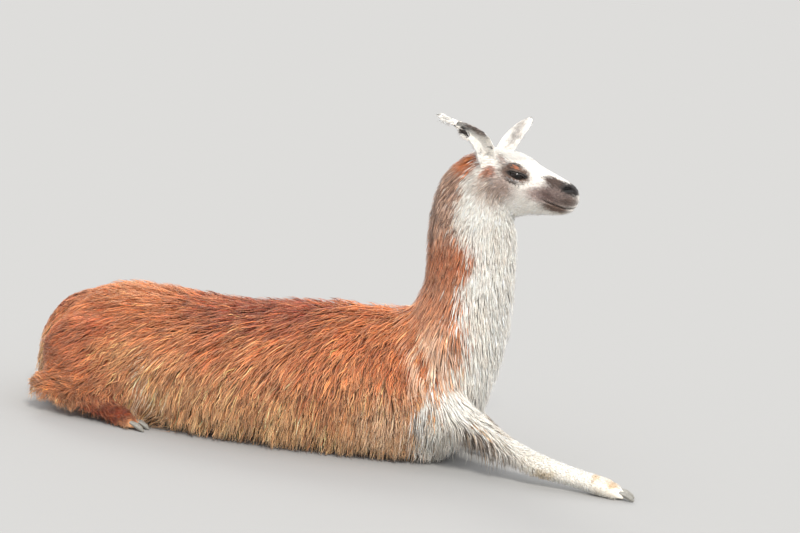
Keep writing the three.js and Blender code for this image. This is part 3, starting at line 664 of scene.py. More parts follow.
@dataclass
class Skin:
    """One closed skin over all the flesh, with the coat's lie, length and colour at each vertex."""

    palette: Palette
    face: Face = field(default_factory=Face)
    voxel: float = 0.0030
    faces: int = 128000
    overlap: float = 0.0007
    smoothing: int = 26

    def build(self) -> bpy.types.Object:
        """Makes the skin.

        Returns:
            The skin as one mesh object that replaces the flesh nodes.
        """
        self.obj = self.join_flesh()
        self.grow_together()
        self.read_body()
        self.sink_under_coat()
        self.refine_face()
        self.sculpt_face()
        self.read_body()
        self.measure_room()
        keep = np.concatenate([self.tints, np.ones((len(self.tints), 1))], axis=1)
        keep_rows(self.obj.data, "tint", "FLOAT_COLOR", keep)
        only(self.obj)
        bpy.ops.object.shade_smooth()
        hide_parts(*[name for zone in Zone for name in zone.value])
        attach(self.obj, "root")
        return self.obj

    def join_flesh(self) -> bpy.types.Object:
        """Joins merged, slightly swollen copies of the flesh nodes and the face's swellings."""
        parts = []
        for zone in Zone:
            for name in zone.value:
                mesh = frame["nodes"][name].data.copy()
                mesh.materials.clear()
                part = bpy.data.objects.new("flesh_" + name, mesh)
                bpy.context.scene.collection.objects.link(part)
                only(part)
                bpy.ops.object.mode_set(mode="EDIT")
                bpy.ops.mesh.select_all(action="SELECT")
                bpy.ops.mesh.remove_doubles(threshold=1e-5)
                bpy.ops.object.mode_set(mode="OBJECT")
                place(mesh, corners(mesh) + normals(mesh) * self.overlap)
                self.mark_zone(mesh, zone)
                parts.append(part)
        for swelling in self.face.swellings:
            for side in swelling.sides:
                parts.append(self.swelling(swelling, side))
        bpy.ops.object.select_all(action="DESELECT")
        for part in parts:
            part.select_set(True)
        bpy.context.view_layer.objects.active = parts[0]
        bpy.ops.object.join()
        parts[0].name = "skin"
        self.coat_surface(parts[0].data)
        return parts[0]

    def swelling(self, form: Swelling, side: int) -> bpy.types.Object:
        """Adds one rounded form of the face on one side."""
        bpy.ops.object.select_all(action="DESELECT")
        bpy.ops.mesh.primitive_uv_sphere_add(
            segments=28,
            ring_count=16,
            location=(form.at[0], form.at[1] * side, form.at[2]),
            rotation=(0, math.radians(form.pitch), 0),
            scale=form.reach,
        )
        part = bpy.context.object
        bpy.ops.object.transform_apply(location=True, rotation=True, scale=True)
        part.data.uv_layers.remove(part.data.uv_layers[0])
        self.mark_zone(part.data, form.zone)
        return part

    def mark_zone(self, mesh: bpy.types.Mesh, zone: Zone) -> None:
        """Notes the zone on every face."""
        layer = mesh.attributes.new("zone", "INT", "FACE")
        layer.data.foreach_set("value", np.full(len(mesh.polygons), zone.code, dtype=np.int32))

    def coat_surface(self, mesh: bpy.types.Mesh) -> None:
        """Keeps the flesh as it came, to look up which zone a point is in."""
        codes = np.empty(len(mesh.polygons), dtype=np.int32)
        mesh.attributes["zone"].data.foreach_get("value", codes)
        self.flesh_codes = codes
        self.flesh = BVHTree.FromPolygons(
            [tuple(v.co) for v in mesh.vertices], [tuple(p.vertices) for p in mesh.polygons]
        )

    def grow_together(self) -> None:
        """Turns the joined flesh into one closed mesh, fine on the head and coarser elsewhere."""
        only(self.obj)
        remesh = self.obj.modifiers.new("one_skin", "REMESH")
        remesh.mode = "VOXEL"
        remesh.voxel_size = self.voxel * 1
        bpy.ops.object.modifier_apply(modifier=remesh.name)
        mesh = self.obj.data
        bpy.ops.object.mode_set(mode="EDIT")
        bpy.ops.mesh.select_all(action="DESELECT")
        bpy.ops.object.mode_set(mode="OBJECT")
        mesh.vertices[int(np.argmax(corners(mesh)[:, 0]))].select = True
        bpy.ops.object.mode_set(mode="EDIT")
        bpy.ops.mesh.select_linked()
        bpy.ops.mesh.select_all(action="INVERT")
        bpy.ops.mesh.delete(type="VERT")
        bpy.ops.object.mode_set(mode="OBJECT")
        points = corners(mesh)
        coarse = ease(0.62, 0.50, points[:, 2]) + ease(0.46, 0.40, points[:, 0])
        group = self.obj.vertex_groups.new(name="coarse")
        for level in range(1, 11):
            rows = np.flatnonzero(np.round(np.clip(coarse, 0, 1) * 10) == level)
            group.add(rows.tolist(), level / 10, "REPLACE")
        thin = self.obj.modifiers.new("thin", "DECIMATE")
        thin.ratio = min(1.0, self.faces / (2 * len(mesh.polygons)))
        thin.vertex_group = group.name
        thin.vertex_group_factor = 3.0
        bpy.ops.object.modifier_apply(modifier=thin.name)
        self.obj.vertex_groups.clear()

    def read_body(self) -> None:
        """Reads each vertex's zone, and from it the lie, length, depth and colour of the coat."""
        mesh = self.obj.data
        points = corners(mesh)
        found = [self.flesh.find_nearest(Vector(p))[2] for p in points]
        codes = self.flesh_codes[np.array(found)]
        edges = np.empty(len(mesh.edges) * 2, dtype=np.int32)
        mesh.edges.foreach_get("vertices", edges)
        self.edges = edges.reshape(-1, 2)
        rows = np.zeros((len(points), 5))
        mirrored = np.abs(points) * (0, 1, 0) + points * (1, 0, 1)
        for zone in Zone:
            here = codes == zone.code
            combs = COMBS[zone]
            single = zone in (*EARS, *FORE)
            near = points[here] if single else mirrored[here]
            spots = np.array([comb.at for comb in combs])
            ways = unit(np.array([comb.lie for comb in combs]))
            coats = np.array([(comb.length, comb.depth) for comb in combs]) / 1000
            gaps = np.linalg.norm(near[:, None, :] - spots[None], axis=2)
            pull = 1 / (gaps**2 + 0.02**2) ** 2
            pull /= pull.sum(axis=1, keepdims=True)
            rows[here, :3] = pull @ ways
            rows[here, 3:] = pull @ coats
            if not single:
                rows[here, 1] *= np.sign(points[here, 1])
        rows = self.spread(rows, 14)
        out = normals(mesh)
        lie = rows[:, :3]
        self.lies = unit(lie - out * (lie * out).sum(axis=1, keepdims=True))
        self.lengths, self.depths = rows[:, 3], rows[:, 4]
        self.codes = codes
        self.tints = self.palette.tint(points, codes)

    def spread(self, rows: np.ndarray, rounds: int, share: float = 0.5) -> np.ndarray:
        """Evens out rows of vertex values along the mesh's edges.

        Args:
            rows: One row per vertex.
            rounds: How many times each value moves towards its neighbours' mean.
            share: How far it moves each time.

        Returns:
            The evened rows.
        """
        ends = np.concatenate([self.edges[:, 0], self.edges[:, 1]])
        others = np.concatenate([self.edges[:, 1], self.edges[:, 0]])
        count = np.maximum(np.bincount(ends, minlength=len(rows)), 1)[:, None]
        for _ in range(rounds):
            near = rows[others]
            total = [np.bincount(ends, near[:, k], minlength=len(rows)) for k in range(rows.shape[1])]
            rows = rows + (np.stack(total, axis=1) / count - rows) * share
        return rows

    def sink_under_coat(self) -> None:
        """Rounds the facets off and sinks the skin by the coat's depth, in small steps."""
        mesh = self.obj.data
        points = corners(mesh)
        held = np.isin(self.codes, [zone.code for zone in EARS])[:, None]
        smooth = self.spread(points, self.smoothing)
        points = np.where(held, self.spread(points, 2), smooth)
        place(mesh, points)
        eye = np.min([np.linalg.norm(points - self.face.eye_frame(s)[0], axis=1) for s in (1, -1)], axis=0)
        depth = self.depths * ease(0.022, 0.045, eye)
        steps = 5
        for _ in range(steps):
            points = corners(mesh) - normals(mesh) * (depth / steps)[:, None]
            calm = self.spread(points, 2)
            points = np.where(held | (self.depths < 0.006)[:, None], points, calm)
            place(mesh, points)
        self.ease_folds(held)

    def ease_folds(self, held: np.ndarray, rounds: int = 8) -> None:
        """Smooths the few places where the sunk skin has folded over itself."""
        mesh = self.obj.data
        for _ in range(rounds):
            points, out = corners(mesh), normals(mesh)
            even = unit(self.spread(out, 8))
            folded = ((out * even).sum(axis=1, keepdims=True) < 0.4) & ~held
            near = self.spread(folded.astype(float), 4) > 0
            place(mesh, np.where(near, self.spread(points, 5), points))

    def measure_room(self) -> None:
        """Measures how far the coat may rise at each vertex to reach the outline of the flesh."""
        points = corners(self.obj.data)
        room = np.array([self.flesh.find_nearest(Vector(p))[3] for p in points])
        self.depths = np.maximum(self.spread(room[:, None], 4)[:, 0], self.depths * 0.7)
        eye = np.min([np.linalg.norm(points - self.face.eye_frame(s)[0], axis=1) for s in (1, -1)], axis=0)
        near = ease(0.028, 0.060, eye)
        self.depths *= 0.25 + 0.75 * near
        self.lengths *= 0.45 + 0.55 * near
        line = self.face.mouth_line(points)
        self.lengths *= 1 - 0.4 * ease(0.68, 0.74, points[:, 0])
        # Painted shade: the groove between the lips is darkened.
        dark = np.array(linear(self.face.mouth_shade_colour))
        self.tints += (dark - self.tints) * line[:, None] * 0.9

    def refine_face(self) -> None:
        """Splits the faces round the eyes and on the muzzle, where the finest forms are."""
        mesh = self.obj.data
        only(self.obj)
        for cuts, reach in ((1, 0.036), (1, 0.030)):
            points = corners(mesh)
            near = np.zeros(len(points), dtype=bool)
            for side in (1, -1):
                near |= np.linalg.norm(points - self.face.eye_frame(side)[0], axis=1) < reach
            if reach > 0.032:
                near |= points[:, 0] > 0.705
                near &= points[:, 2] > 0.5
            self.split(near, cuts)

    def split(self, near: np.ndarray, cuts: int) -> None:
        """Subdivides the faces whose vertices are all chosen."""
        mesh = self.obj.data
        bpy.ops.object.mode_set(mode="EDIT")
        bpy.ops.mesh.select_mode(type="VERT")
        bpy.ops.mesh.select_all(action="DESELECT")
        bpy.ops.object.mode_set(mode="OBJECT")
        mesh.vertices.foreach_set("select", near)
        bpy.ops.object.mode_set(mode="EDIT")
        bpy.ops.mesh.select_mode(type="FACE")
        bpy.ops.mesh.subdivide(number_cuts=cuts, smoothness=0)
        bpy.ops.mesh.quads_convert_to_tris()
        bpy.ops.object.mode_set(mode="OBJECT")

    def sculpt_face(self) -> None:
        """Opens the eyes, nostrils and mouth in the refined skin."""
        mesh = self.obj.data
        points = corners(mesh)
        on_head = (points[:, 0] > 0.56) & (points[:, 2] > 0.6)
        edges = np.empty(len(mesh.edges) * 2, dtype=np.int32)
        mesh.edges.foreach_get("vertices", edges)
        self.edges = edges.reshape(-1, 2)
        smooth = self.spread(points, 3)
        points = np.where(on_head[:, None], smooth, points)
        place(mesh, points)
        out = normals(mesh)
        made = self.face.part_lips(points, out)
        made = self.face.open_nostrils(made)
        made = self.face.open_eyes(made)
        place(mesh, np.where(on_head[:, None], made, points))

    def dress(self, material: bpy.types.Material) -> None:
        """Gives the skin its material."""
        self.obj.data.materials.clear()
        self.obj.data.materials.append(material)


# ---------------------------------------------------------------- coat


@dataclass(frozen=True)
class Lock:
    """One tapered lock of hair, modelled once and then laid along every path."""

    steps: int
    flat: float = 0.42
    fullest: float = 0.30
    root: float = 0.55

    def model(self) -> tuple[np.ndarray, np.ndarray, list[tuple[int, ...]]]:
        """Models the lock as a three-sided cone with rings cut into it.

        Returns:
            Each vertex's step along the lock, its place across it, and the faces.
        """
        bpy.ops.object.select_all(action="DESELECT")
        bpy.ops.mesh.primitive_cone_add(vertices=3, radius1=1, radius2=0, depth=1, location=(0, 0, 0.5))
        cone = bpy.context.object
        bpy.ops.object.transform_apply(location=True)
        bpy.ops.object.mode_set(mode="EDIT")
        for step in range(1, self.steps):
            bpy.ops.mesh.select_all(action="SELECT")
            bpy.ops.mesh.bisect(plane_co=(0, 0, step / self.steps), plane_no=(0, 0, 1))
        bpy.ops.object.mode_set(mode="OBJECT")
        rows = corners(cone.data)
        step = np.round(rows[:, 2] * self.steps).astype(int)
        faces = [tuple(p.vertices) for p in cone.data.polygons]
        bpy.data.objects.remove(cone)
        return step, unit(rows * (1, 1, 0))[:, :2] * (step < self.steps)[:, None], faces

    def width(self) -> np.ndarray:
        """Gives the share of the full width at each step."""
        along = np.linspace(0, 1, self.steps + 1)
        rise = self.root + (1 - self.root) * np.clip(along / self.fullest, 0, 1)
        fall = 1 - np.clip((along - self.fullest) / (1 - self.fullest), 0, 1) ** 1.7
        return rise * np.maximum(fall, 0.12)


@dataclass(frozen=True)
class Fleece:
    """One mesh of the coat: where it grows and how its locks are cut."""

    name: str
    slot: str
    zones: tuple[Zone, ...]
    lock: Lock
    side: int = 0
    ahead: tuple[float, float] = (-9.0, 9.0)
    gap: float = 1.0
    clump: float = 0.014
    gather: float = 0.36
    curl: float = 0.0034
    lift: float = 18.0
    stray: float = 0.14
    even: float = 0.70
    roll: float = 0.45
    breadth: float = 1.0
    above: float = -9.0
    soft: float = 0.0
    loose: float = 0.0


@dataclass
class Coat:
    """All the fleeces, grown over one skin."""

    skin: Skin
    seed: int = 20
    sink: float = 0.0010
    floor: float = 0.0015
    patch: float = 0.003
    mingle: float = 0.19
    hang: np.ndarray = field(default_factory=lambda: np.array([-0.12, 0.0, -1.0]))

    def __post_init__(self) -> None:
        """Reads the skin once for all fleeces."""
        mesh = self.skin.obj.data
        mesh.calc_loop_triangles()
        flat = np.empty(len(mesh.loop_triangles) * 3, dtype=np.int32)
        mesh.loop_triangles.foreach_get("vertices", flat)
        self.tris = flat.reshape(-1, 3)
        self.points, self.out = corners(mesh), normals(mesh)
        self.tree = BVHTree.FromPolygons(self.points.tolist(), self.tris.tolist())
        a, b, c = (self.points[self.tris[:, k]] for k in range(3))
        self.areas = np.linalg.norm(np.cross(b - a, c - a), axis=1) / 2
        self.bare = self.bare_places()

    def bare_places(self) -> np.ndarray:
        """Finds the vertices where no hair grows: between the lids, in the nostrils, by the nails."""
        face = self.skin.face
        bare = np.zeros(len(self.points), dtype=bool)
        for side in (1, -1):
            near = np.linalg.norm(self.points - face.eye_frame(side)[0], axis=1) < 0.034
            bare |= near & (face.opening_share(self.points, side) < 1.3)
            hole = np.array(face.nostril) * (1, side, 1)
            bare |= np.linalg.norm((self.points - hole) / (1.4, 1, 1), axis=1) < 0.012
        bare |= face.mouth_line(self.points) * (self.points[:, 2] > 0.6) > 0.25
        for name in frame["nodes"]:
            if name.startswith("nail"):
                low, high = (np.array(corner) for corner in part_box(name))
                near = np.all((self.points > low - 0.002) & (self.points < high + 0.002), axis=1)
                bare |= near
        return bare

    def nearest(self, rows: np.ndarray) -> tuple[np.ndarray, np.ndarray, np.ndarray]:
        """Finds the skin under each point.

        Args:
            rows: Places near the skin.

        Returns:
            The places on the skin, the smooth normals there, and a vertex by each.
        """
        on, index = np.empty_like(rows), np.empty(len(rows), dtype=np.int64)
        find = self.tree.find_nearest
        for k, row in enumerate(rows.tolist()):
            spot, _, tri, _ = find(row)
            on[k] = spot
            index[k] = tri
        trio = self.tris[index]
        gaps = np.stack([np.linalg.norm(on - self.points[trio[:, k]], axis=1) for k in range(3)], axis=1)
        pull = 1 / np.maximum(gaps, 1e-6)
        pull /= pull.sum(axis=1, keepdims=True)
        smooth = sum(self.out[trio[:, k]] * pull[:, k : k + 1] for k in range(3))
        return on, unit(smooth), trio[np.arange(len(rows)), np.argmin(gaps, axis=1)]

    def roots(self, fleece: Fleece, chance: np.random.Generator) -> tuple[np.ndarray, np.ndarray]:
        """Spreads the roots evenly over the fleece's part of the skin.

        Args:
            fleece: The fleece to root.
            chance: The seeded source of chance.

        Returns:
            The roots and a skin vertex by each.
        """
        first = self.tris[:, 0]
        middle = self.points[self.tris].mean(axis=1)
        here = np.isin(self.skin.codes[first], [zone.code for zone in fleece.zones])
        here &= ~self.bare[self.tris].any(axis=1)
        here &= (middle[:, 0] >= fleece.ahead[0]) & (middle[:, 0] < fleece.ahead[1])
        here &= middle[:, 2] >= fleece.above
        if fleece.side:
            here &= np.sign(middle[:, 1]) * fleece.side >= 0
        length = self.skin.lengths[first]
        gap = (0.0024 + 0.054 * length) * fleece.gap * 1
        under = ease(-0.75, -0.45, self.out[first, 2]) + (middle[:, 2] > 0.08) + (middle[:, 0] > 0.5)
        wanted = np.cumsum(self.areas / gap**2 * here * np.clip(under, 0.12, 1))
        picks = np.searchsorted(wanted, np.arange(chance.uniform(), wanted[-1], 1.0))
        mix = chance.dirichlet((1, 1, 1), len(picks))
        trio = self.tris[picks]
        return (self.points[trio] * mix[:, :, None]).sum(axis=1), trio[:, 0]

    def grow(
        self, starts: np.ndarray, by: np.ndarray, fleece: Fleece, looks: dict[str, np.ndarray]
    ) -> tuple[np.ndarray, np.ndarray]:
        """Grows a path from each root over the skin.

        Args:
            starts: The roots.
            by: A skin vertex by each root.
            fleece: The fleece they belong to.
            looks: Each path's length, layer height, lift, and its turn across the lie.

        Returns:
            The paths, and the skin's normal at each of their points.
        """
        steps = fleece.lock.steps
        out, lie = self.out[by], self.skin.lies[by]
        across = np.cross(out, lie)
        lie = unit(lie + across * looks["turn"][:, None])
        lift = np.radians(looks["lift"])[:, None]
        heading = lie * np.cos(lift) + out * np.sin(lift)
        stride = (looks["length"] / steps)[:, None]
        paths, ups = [starts - out * self.sink], [out]
        loose = looks["loose"][:, None]
        for step in range(1, steps + 1):
            along = step / steps
            guess = paths[-1] + heading * stride
            on, out, near = self.nearest(guess)
            height = (self.skin.depths[near] * looks["layer"] * (1 - (1 - along) ** 2.2))[:, None]
            above = ((guess - on) * out).sum(axis=1, keepdims=True)
            under = ease(-0.02, -0.40, out[:, 2])[:, None]
            drawn = np.where(height < above, (height - above) * (1 - under), height - above)
            guess = guess + out * drawn * (0.95 - 0.9 * loose * along)
            guess[:, 2] = np.maximum(guess[:, 2], self.floor + 0.001 * looks["layer"])
            lie = self.skin.lies[near]
            lie = unit(lie + np.cross(out, lie) * looks["turn"][:, None] * (1 - 0.6 * along))
            lie += (self.hang - lie) * under
            heading = unit(0.55 * heading + 0.45 * lie - np.array([0, 0, 0.06]))
            paths.append(guess)
            ups.append(out)
        return np.stack(paths, axis=1), np.stack(ups, axis=1)

    def build(self, fleece: Fleece, material: bpy.types.Material) -> bpy.types.Object:
        """Grows one fleece and makes it a mesh.

        Args:
            fleece: The fleece to grow.
            material: The coat's material.

        Returns:
            The fleece's mesh object.
        """
        chance = np.random.default_rng(self.seed + len(bpy.data.meshes))
        starts, by = self.roots(fleece, chance)
        count = len(starts)
        cells = np.floor((starts / fleece.clump) + 0.12 * chance.normal(size=(count, 3)))
        _, clump = np.unique(cells.astype(np.int64), axis=0, return_inverse=True)
        clump = clump.ravel()
        many = clump.max() + 1
        tuft = {
            "length": chance.uniform(0.78, 1.16, many),
            "layer": chance.uniform(0.90, 1.08, many),
            "turn": chance.normal(0, fleece.stray, many),
            "lift": chance.uniform(0.6, 1.5, many),
            "loose": (chance.uniform(size=many) < 0.10) * chance.uniform(0.2, 0.7, many),
            "tone": chance.normal(0, 1, many),
        }
        stray = chance.uniform(size=count) < 0.05
        looks = {
            "length": self.skin.lengths[by] * tuft["length"][clump] * chance.uniform(0.75, 1.1, count),
            "layer": tuft["layer"][clump] * (chance.uniform(fleece.even, 1.06, count) + 0.22 * stray),
            "turn": tuft["turn"][clump] + chance.normal(0, fleece.stray * 0.6, count),
            "lift": fleece.lift * tuft["lift"][clump] + 14 * stray,
            "loose": np.maximum(tuft["loose"][clump], np.maximum(0.8 * stray, fleece.loose)),
        }
        paths, ups = self.grow(starts, by, fleece, looks)
        paths = self.gather(paths, clump, many, fleece)
        paths = self.curl(paths, ups, clump, fleece, chance)
        width = (0.0006 + 0.0115 * self.skin.lengths[by]) * chance.uniform(0.7, 1.3, count)
        width *= fleece.breadth * (1 - 0.5 * stray)
        return self.mesh(fleece, paths, ups, width, starts, by, tuft["tone"][clump], material, chance)

    def lashes(self, fleece: Fleece, material: bpy.types.Material, each: int = 26) -> bpy.types.Object:
        """Sets a row of long dark lashes along each upper lid.

        Args:
            fleece: The name, slot and lock of the lashes.
            material: The coat's material.
            each: How many lashes there are on one eye.

        Returns:
            The lashes' mesh object.
        """
        face, paths, ups = self.skin.face, [], []
        chance = np.random.default_rng(self.seed)
        for side in (1, -1):
            centre, (ahead, out, up) = face.eye_frame(side)
            for share in np.linspace(-0.80, 0.90, each):
                along = share * face.opening[0]
                high = face.opening[1] * math.sqrt(1 - share**2) + 0.001
                deep = math.sqrt(max((face.ball + 0.0005) ** 2 - along**2 - high**2, 0.010**2))
                root = centre + ahead * along + up * high + out * deep
                way = unit(out + ahead * (0.35 + 0.5 * share) - up * chance.uniform(0.25, 0.5))
                length = 0.0125 * chance.uniform(0.8, 1.15)
                bend = [way * k / 3 + up * 0.10 * (k / 3) ** 2 for k in range(4)]
                paths.append([root + row * length for row in bend])
                ups.append([up] * 4)
        rows = np.array(paths)
        by = self.nearest(rows[:, 0])[2]
        width = np.full(len(rows), 0.00075)
        tone = np.zeros(len(rows))
        return self.mesh(fleece, rows, np.array(ups), width, rows[:, 0], by, tone, material, chance)

    def gather(self, paths: np.ndarray, clump: np.ndarray, many: int, fleece: Fleece) -> np.ndarray:
        """Draws the hairs of each clump together towards their tips."""
        count = np.bincount(clump, minlength=many)[:, None]
        along = np.linspace(0, 1, paths.shape[1])
        drawn = paths.copy()
        for step in range(1, paths.shape[1]):
            rows = paths[:, step]
            total = np.stack([np.bincount(clump, rows[:, k], minlength=many) for k in range(3)], axis=1)
            middle = (total / count)[clump]
            drawn[:, step] += (middle - rows) * fleece.gather * along[step] ** 1.4
        return drawn

    def curl(
        self,
        paths: np.ndarray,
        ups: np.ndarray,
        clump: np.ndarray,
        fleece: Fleece,
        chance: np.random.Generator,
    ) -> np.ndarray:
        """Waves each clump's hairs a little from side to side and in and out."""
        many = clump.max() + 1
        phase = (chance.uniform(0, 6.28, many)[clump] + chance.normal(0, 0.5, len(paths)))[:, None]
        size = fleece.curl * chance.uniform(0.4, 1.6, many)[clump][:, None]
        along = np.linspace(0, 1, paths.shape[1])[None]
        length = np.linalg.norm(paths[:, -1] - paths[:, 0], axis=1)[:, None]
        turns = length / 0.034
        way = unit(np.gradient(paths, axis=1))
        side = unit(np.cross(ups, way))
        swing = np.sin(6.28 * turns * along + phase) - np.sin(phase)
        bob = np.cos(6.28 * turns * along + phase * 1.7) - np.cos(phase * 1.7)
        grown = size * along**0.6
        made = paths + side * (swing * grown)[:, :, None] + ups * (0.5 * bob * grown)[:, :, None]
        made[:, :, 2] = np.maximum(made[:, :, 2], self.floor)
        return made

    def mesh(
        self,
        fleece: Fleece,
        paths: np.ndarray,
        ups: np.ndarray,
        width: np.ndarray,
        starts: np.ndarray,
        by: np.ndarray,
        tone: np.ndarray,
        material: bpy.types.Material,
        chance: np.random.Generator,
    ) -> bpy.types.Object:
        """Lays a copy of the modelled lock along every path, all in one mesh.

        Args:
            fleece: The fleece they belong to.
            paths: The paths' points.
            ups: The way out of the skin at each of those points.
            width: Half the width of each lock.
            starts: The roots.
            by: A skin vertex by each root.
            tone: How light or dark each lock's clump is.
            material: The coat's material.
            chance: The seeded source of chance.

        Returns:
            The mesh object.
        """
        step, cross, faces = fleece.lock.model()
        count, each = len(paths), len(step)
        way = unit(np.gradient(paths, axis=1))
        side = unit(np.cross(ups, way))
        up = np.cross(way, side)
        roll = chance.normal(0, fleece.roll, count)[:, None, None]
        side, up = side * np.cos(roll) + up * np.sin(roll), up * np.cos(roll) - side * np.sin(roll)
        thick = width[:, None] * fleece.lock.width()[step][None]
        rows = paths[:, step]
        rows = rows + side[:, step] * (thick * cross[:, 0])[:, :, None]
        rows = rows + up[:, step] * (thick * cross[:, 1] * fleece.lock.flat)[:, :, None]
        rows[:, :, 2] = np.maximum(rows[:, :, 2], 0.0004)
        sizes = np.array([len(face) for face in faces])
        flat = np.concatenate([np.array(face) for face in faces])
        loops = (flat[None] + np.arange(count)[:, None] * each).ravel()
        mesh = bpy.data.meshes.new(fleece.name)
        mesh.vertices.add(count * each)
        mesh.loops.add(len(loops))
        mesh.polygons.add(count * len(faces))
        mesh.vertices.foreach_set("co", rows.astype(np.float32).ravel())
        mesh.loops.foreach_set("vertex_index", loops.astype(np.int32))
        ends = np.cumsum(np.tile(sizes, count))
        mesh.polygons.foreach_set("loop_start", (ends - np.tile(sizes, count)).astype(np.int32))
        mesh.update(calc_edges=True)
        mesh.validate()
        self.colour(mesh, fleece, starts, by, tone, step, cross, count, chance)
        self.unwrap(mesh, starts, by, step, cross, flat, count, fleece.lock.steps)
        mesh.materials.append(material)
        obj = bpy.data.objects.new(fleece.name, mesh)
        bpy.context.scene.collection.objects.link(obj)
        only(obj)
        bpy.ops.object.shade_smooth()
        if fleece.soft:
            # Light passes through white wool, so its locks shade more like the body under them.
            shown = normals(mesh) * (1 - fleece.soft) + ups[:, step].reshape(-1, 3) * fleece.soft
            mesh.normals_split_custom_set_from_vertices(unit(shown).tolist())
        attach(obj, "root")
        LOG.info("%s: %d locks, %d faces", fleece.name, count, count * len(faces))
        return obj

    def colour(
        self,
        mesh: bpy.types.Mesh,
        fleece: Fleece,
        starts: np.ndarray,
        by: np.ndarray,
        tone: np.ndarray,
        step: np.ndarray,
        cross: np.ndarray,
        count: int,
        chance: np.random.Generator,
    ) -> None:
        """Keeps each lock's root colour, and where each vertex is along and across its lock."""
        strewn = starts + chance.normal(size=(count, 3)) * self.skin.lengths[by][:, None] * self.mingle
        tint = self.skin.palette.tint(strewn, self.skin.codes[by])
        brown = 1 - 0.8 * ease(0.35, 0.60, tint[:, 1])
        shade = np.exp((0.27 * tone + 0.27 * chance.normal(size=count)) * brown)
        warm = 0.06 * chance.normal(size=count) * brown
        tint = tint * shade[:, None] * np.stack([1 + warm, np.ones(count), 1 - warm], axis=1)
        tint = np.concatenate([np.clip(tint, 0.005, 0.95), np.ones((count, 1))], axis=1)
        keep_rows(mesh, "tint", "FLOAT_COLOR", np.repeat(tint, len(step), axis=0))
        along = np.tile(step / fleece.lock.steps, count)
        across = np.tile(cross[:, 0], count)
        lot = np.repeat(chance.uniform(size=count), len(step))
        keep_rows(mesh, "lock", "FLOAT_VECTOR", np.stack([along, across, lot], axis=1))

    def unwrap(
        self,
        mesh: bpy.types.Mesh,
        starts: np.ndarray,
        by: np.ndarray,
        step: np.ndarray,
        cross: np.ndarray,
        flat: np.ndarray,
        count: int,
        steps: int,
    ) -> None:
        """Lays the bake map: the skin seen flat from six sides, with a small patch for each lock."""
        facing = self.out[by]
        axis = np.argmax(np.abs(facing), axis=1)
        cell = axis * 2 + (facing[np.arange(count), axis] > 0)
        flat_map = np.zeros((count, 2))
        for k in range(6):
            here = cell == k
            if here.any():
                kept = np.delete(starts[here], k // 2, axis=1)
                low, high = kept.min(axis=0), kept.max(axis=0)
                inner = (kept - low) / np.maximum(high - low, 1e-6) * 0.97 + 0.015
                flat_map[here] = (inner + (k % 3, k // 3)) / (3, 2)
        patch = np.stack([step / steps - 0.5, cross[:, 0] * 0.5], axis=1) * self.patch
        spots = np.clip(flat_map[:, None] + patch[None, flat], 0.0005, 0.9995)
        layer = mesh.uv_layers.new(name="OFBake")
        layer.data.foreach_set("uv", spots.astype(np.float32).ravel())


# ---------------------------------------------------------------- finishes


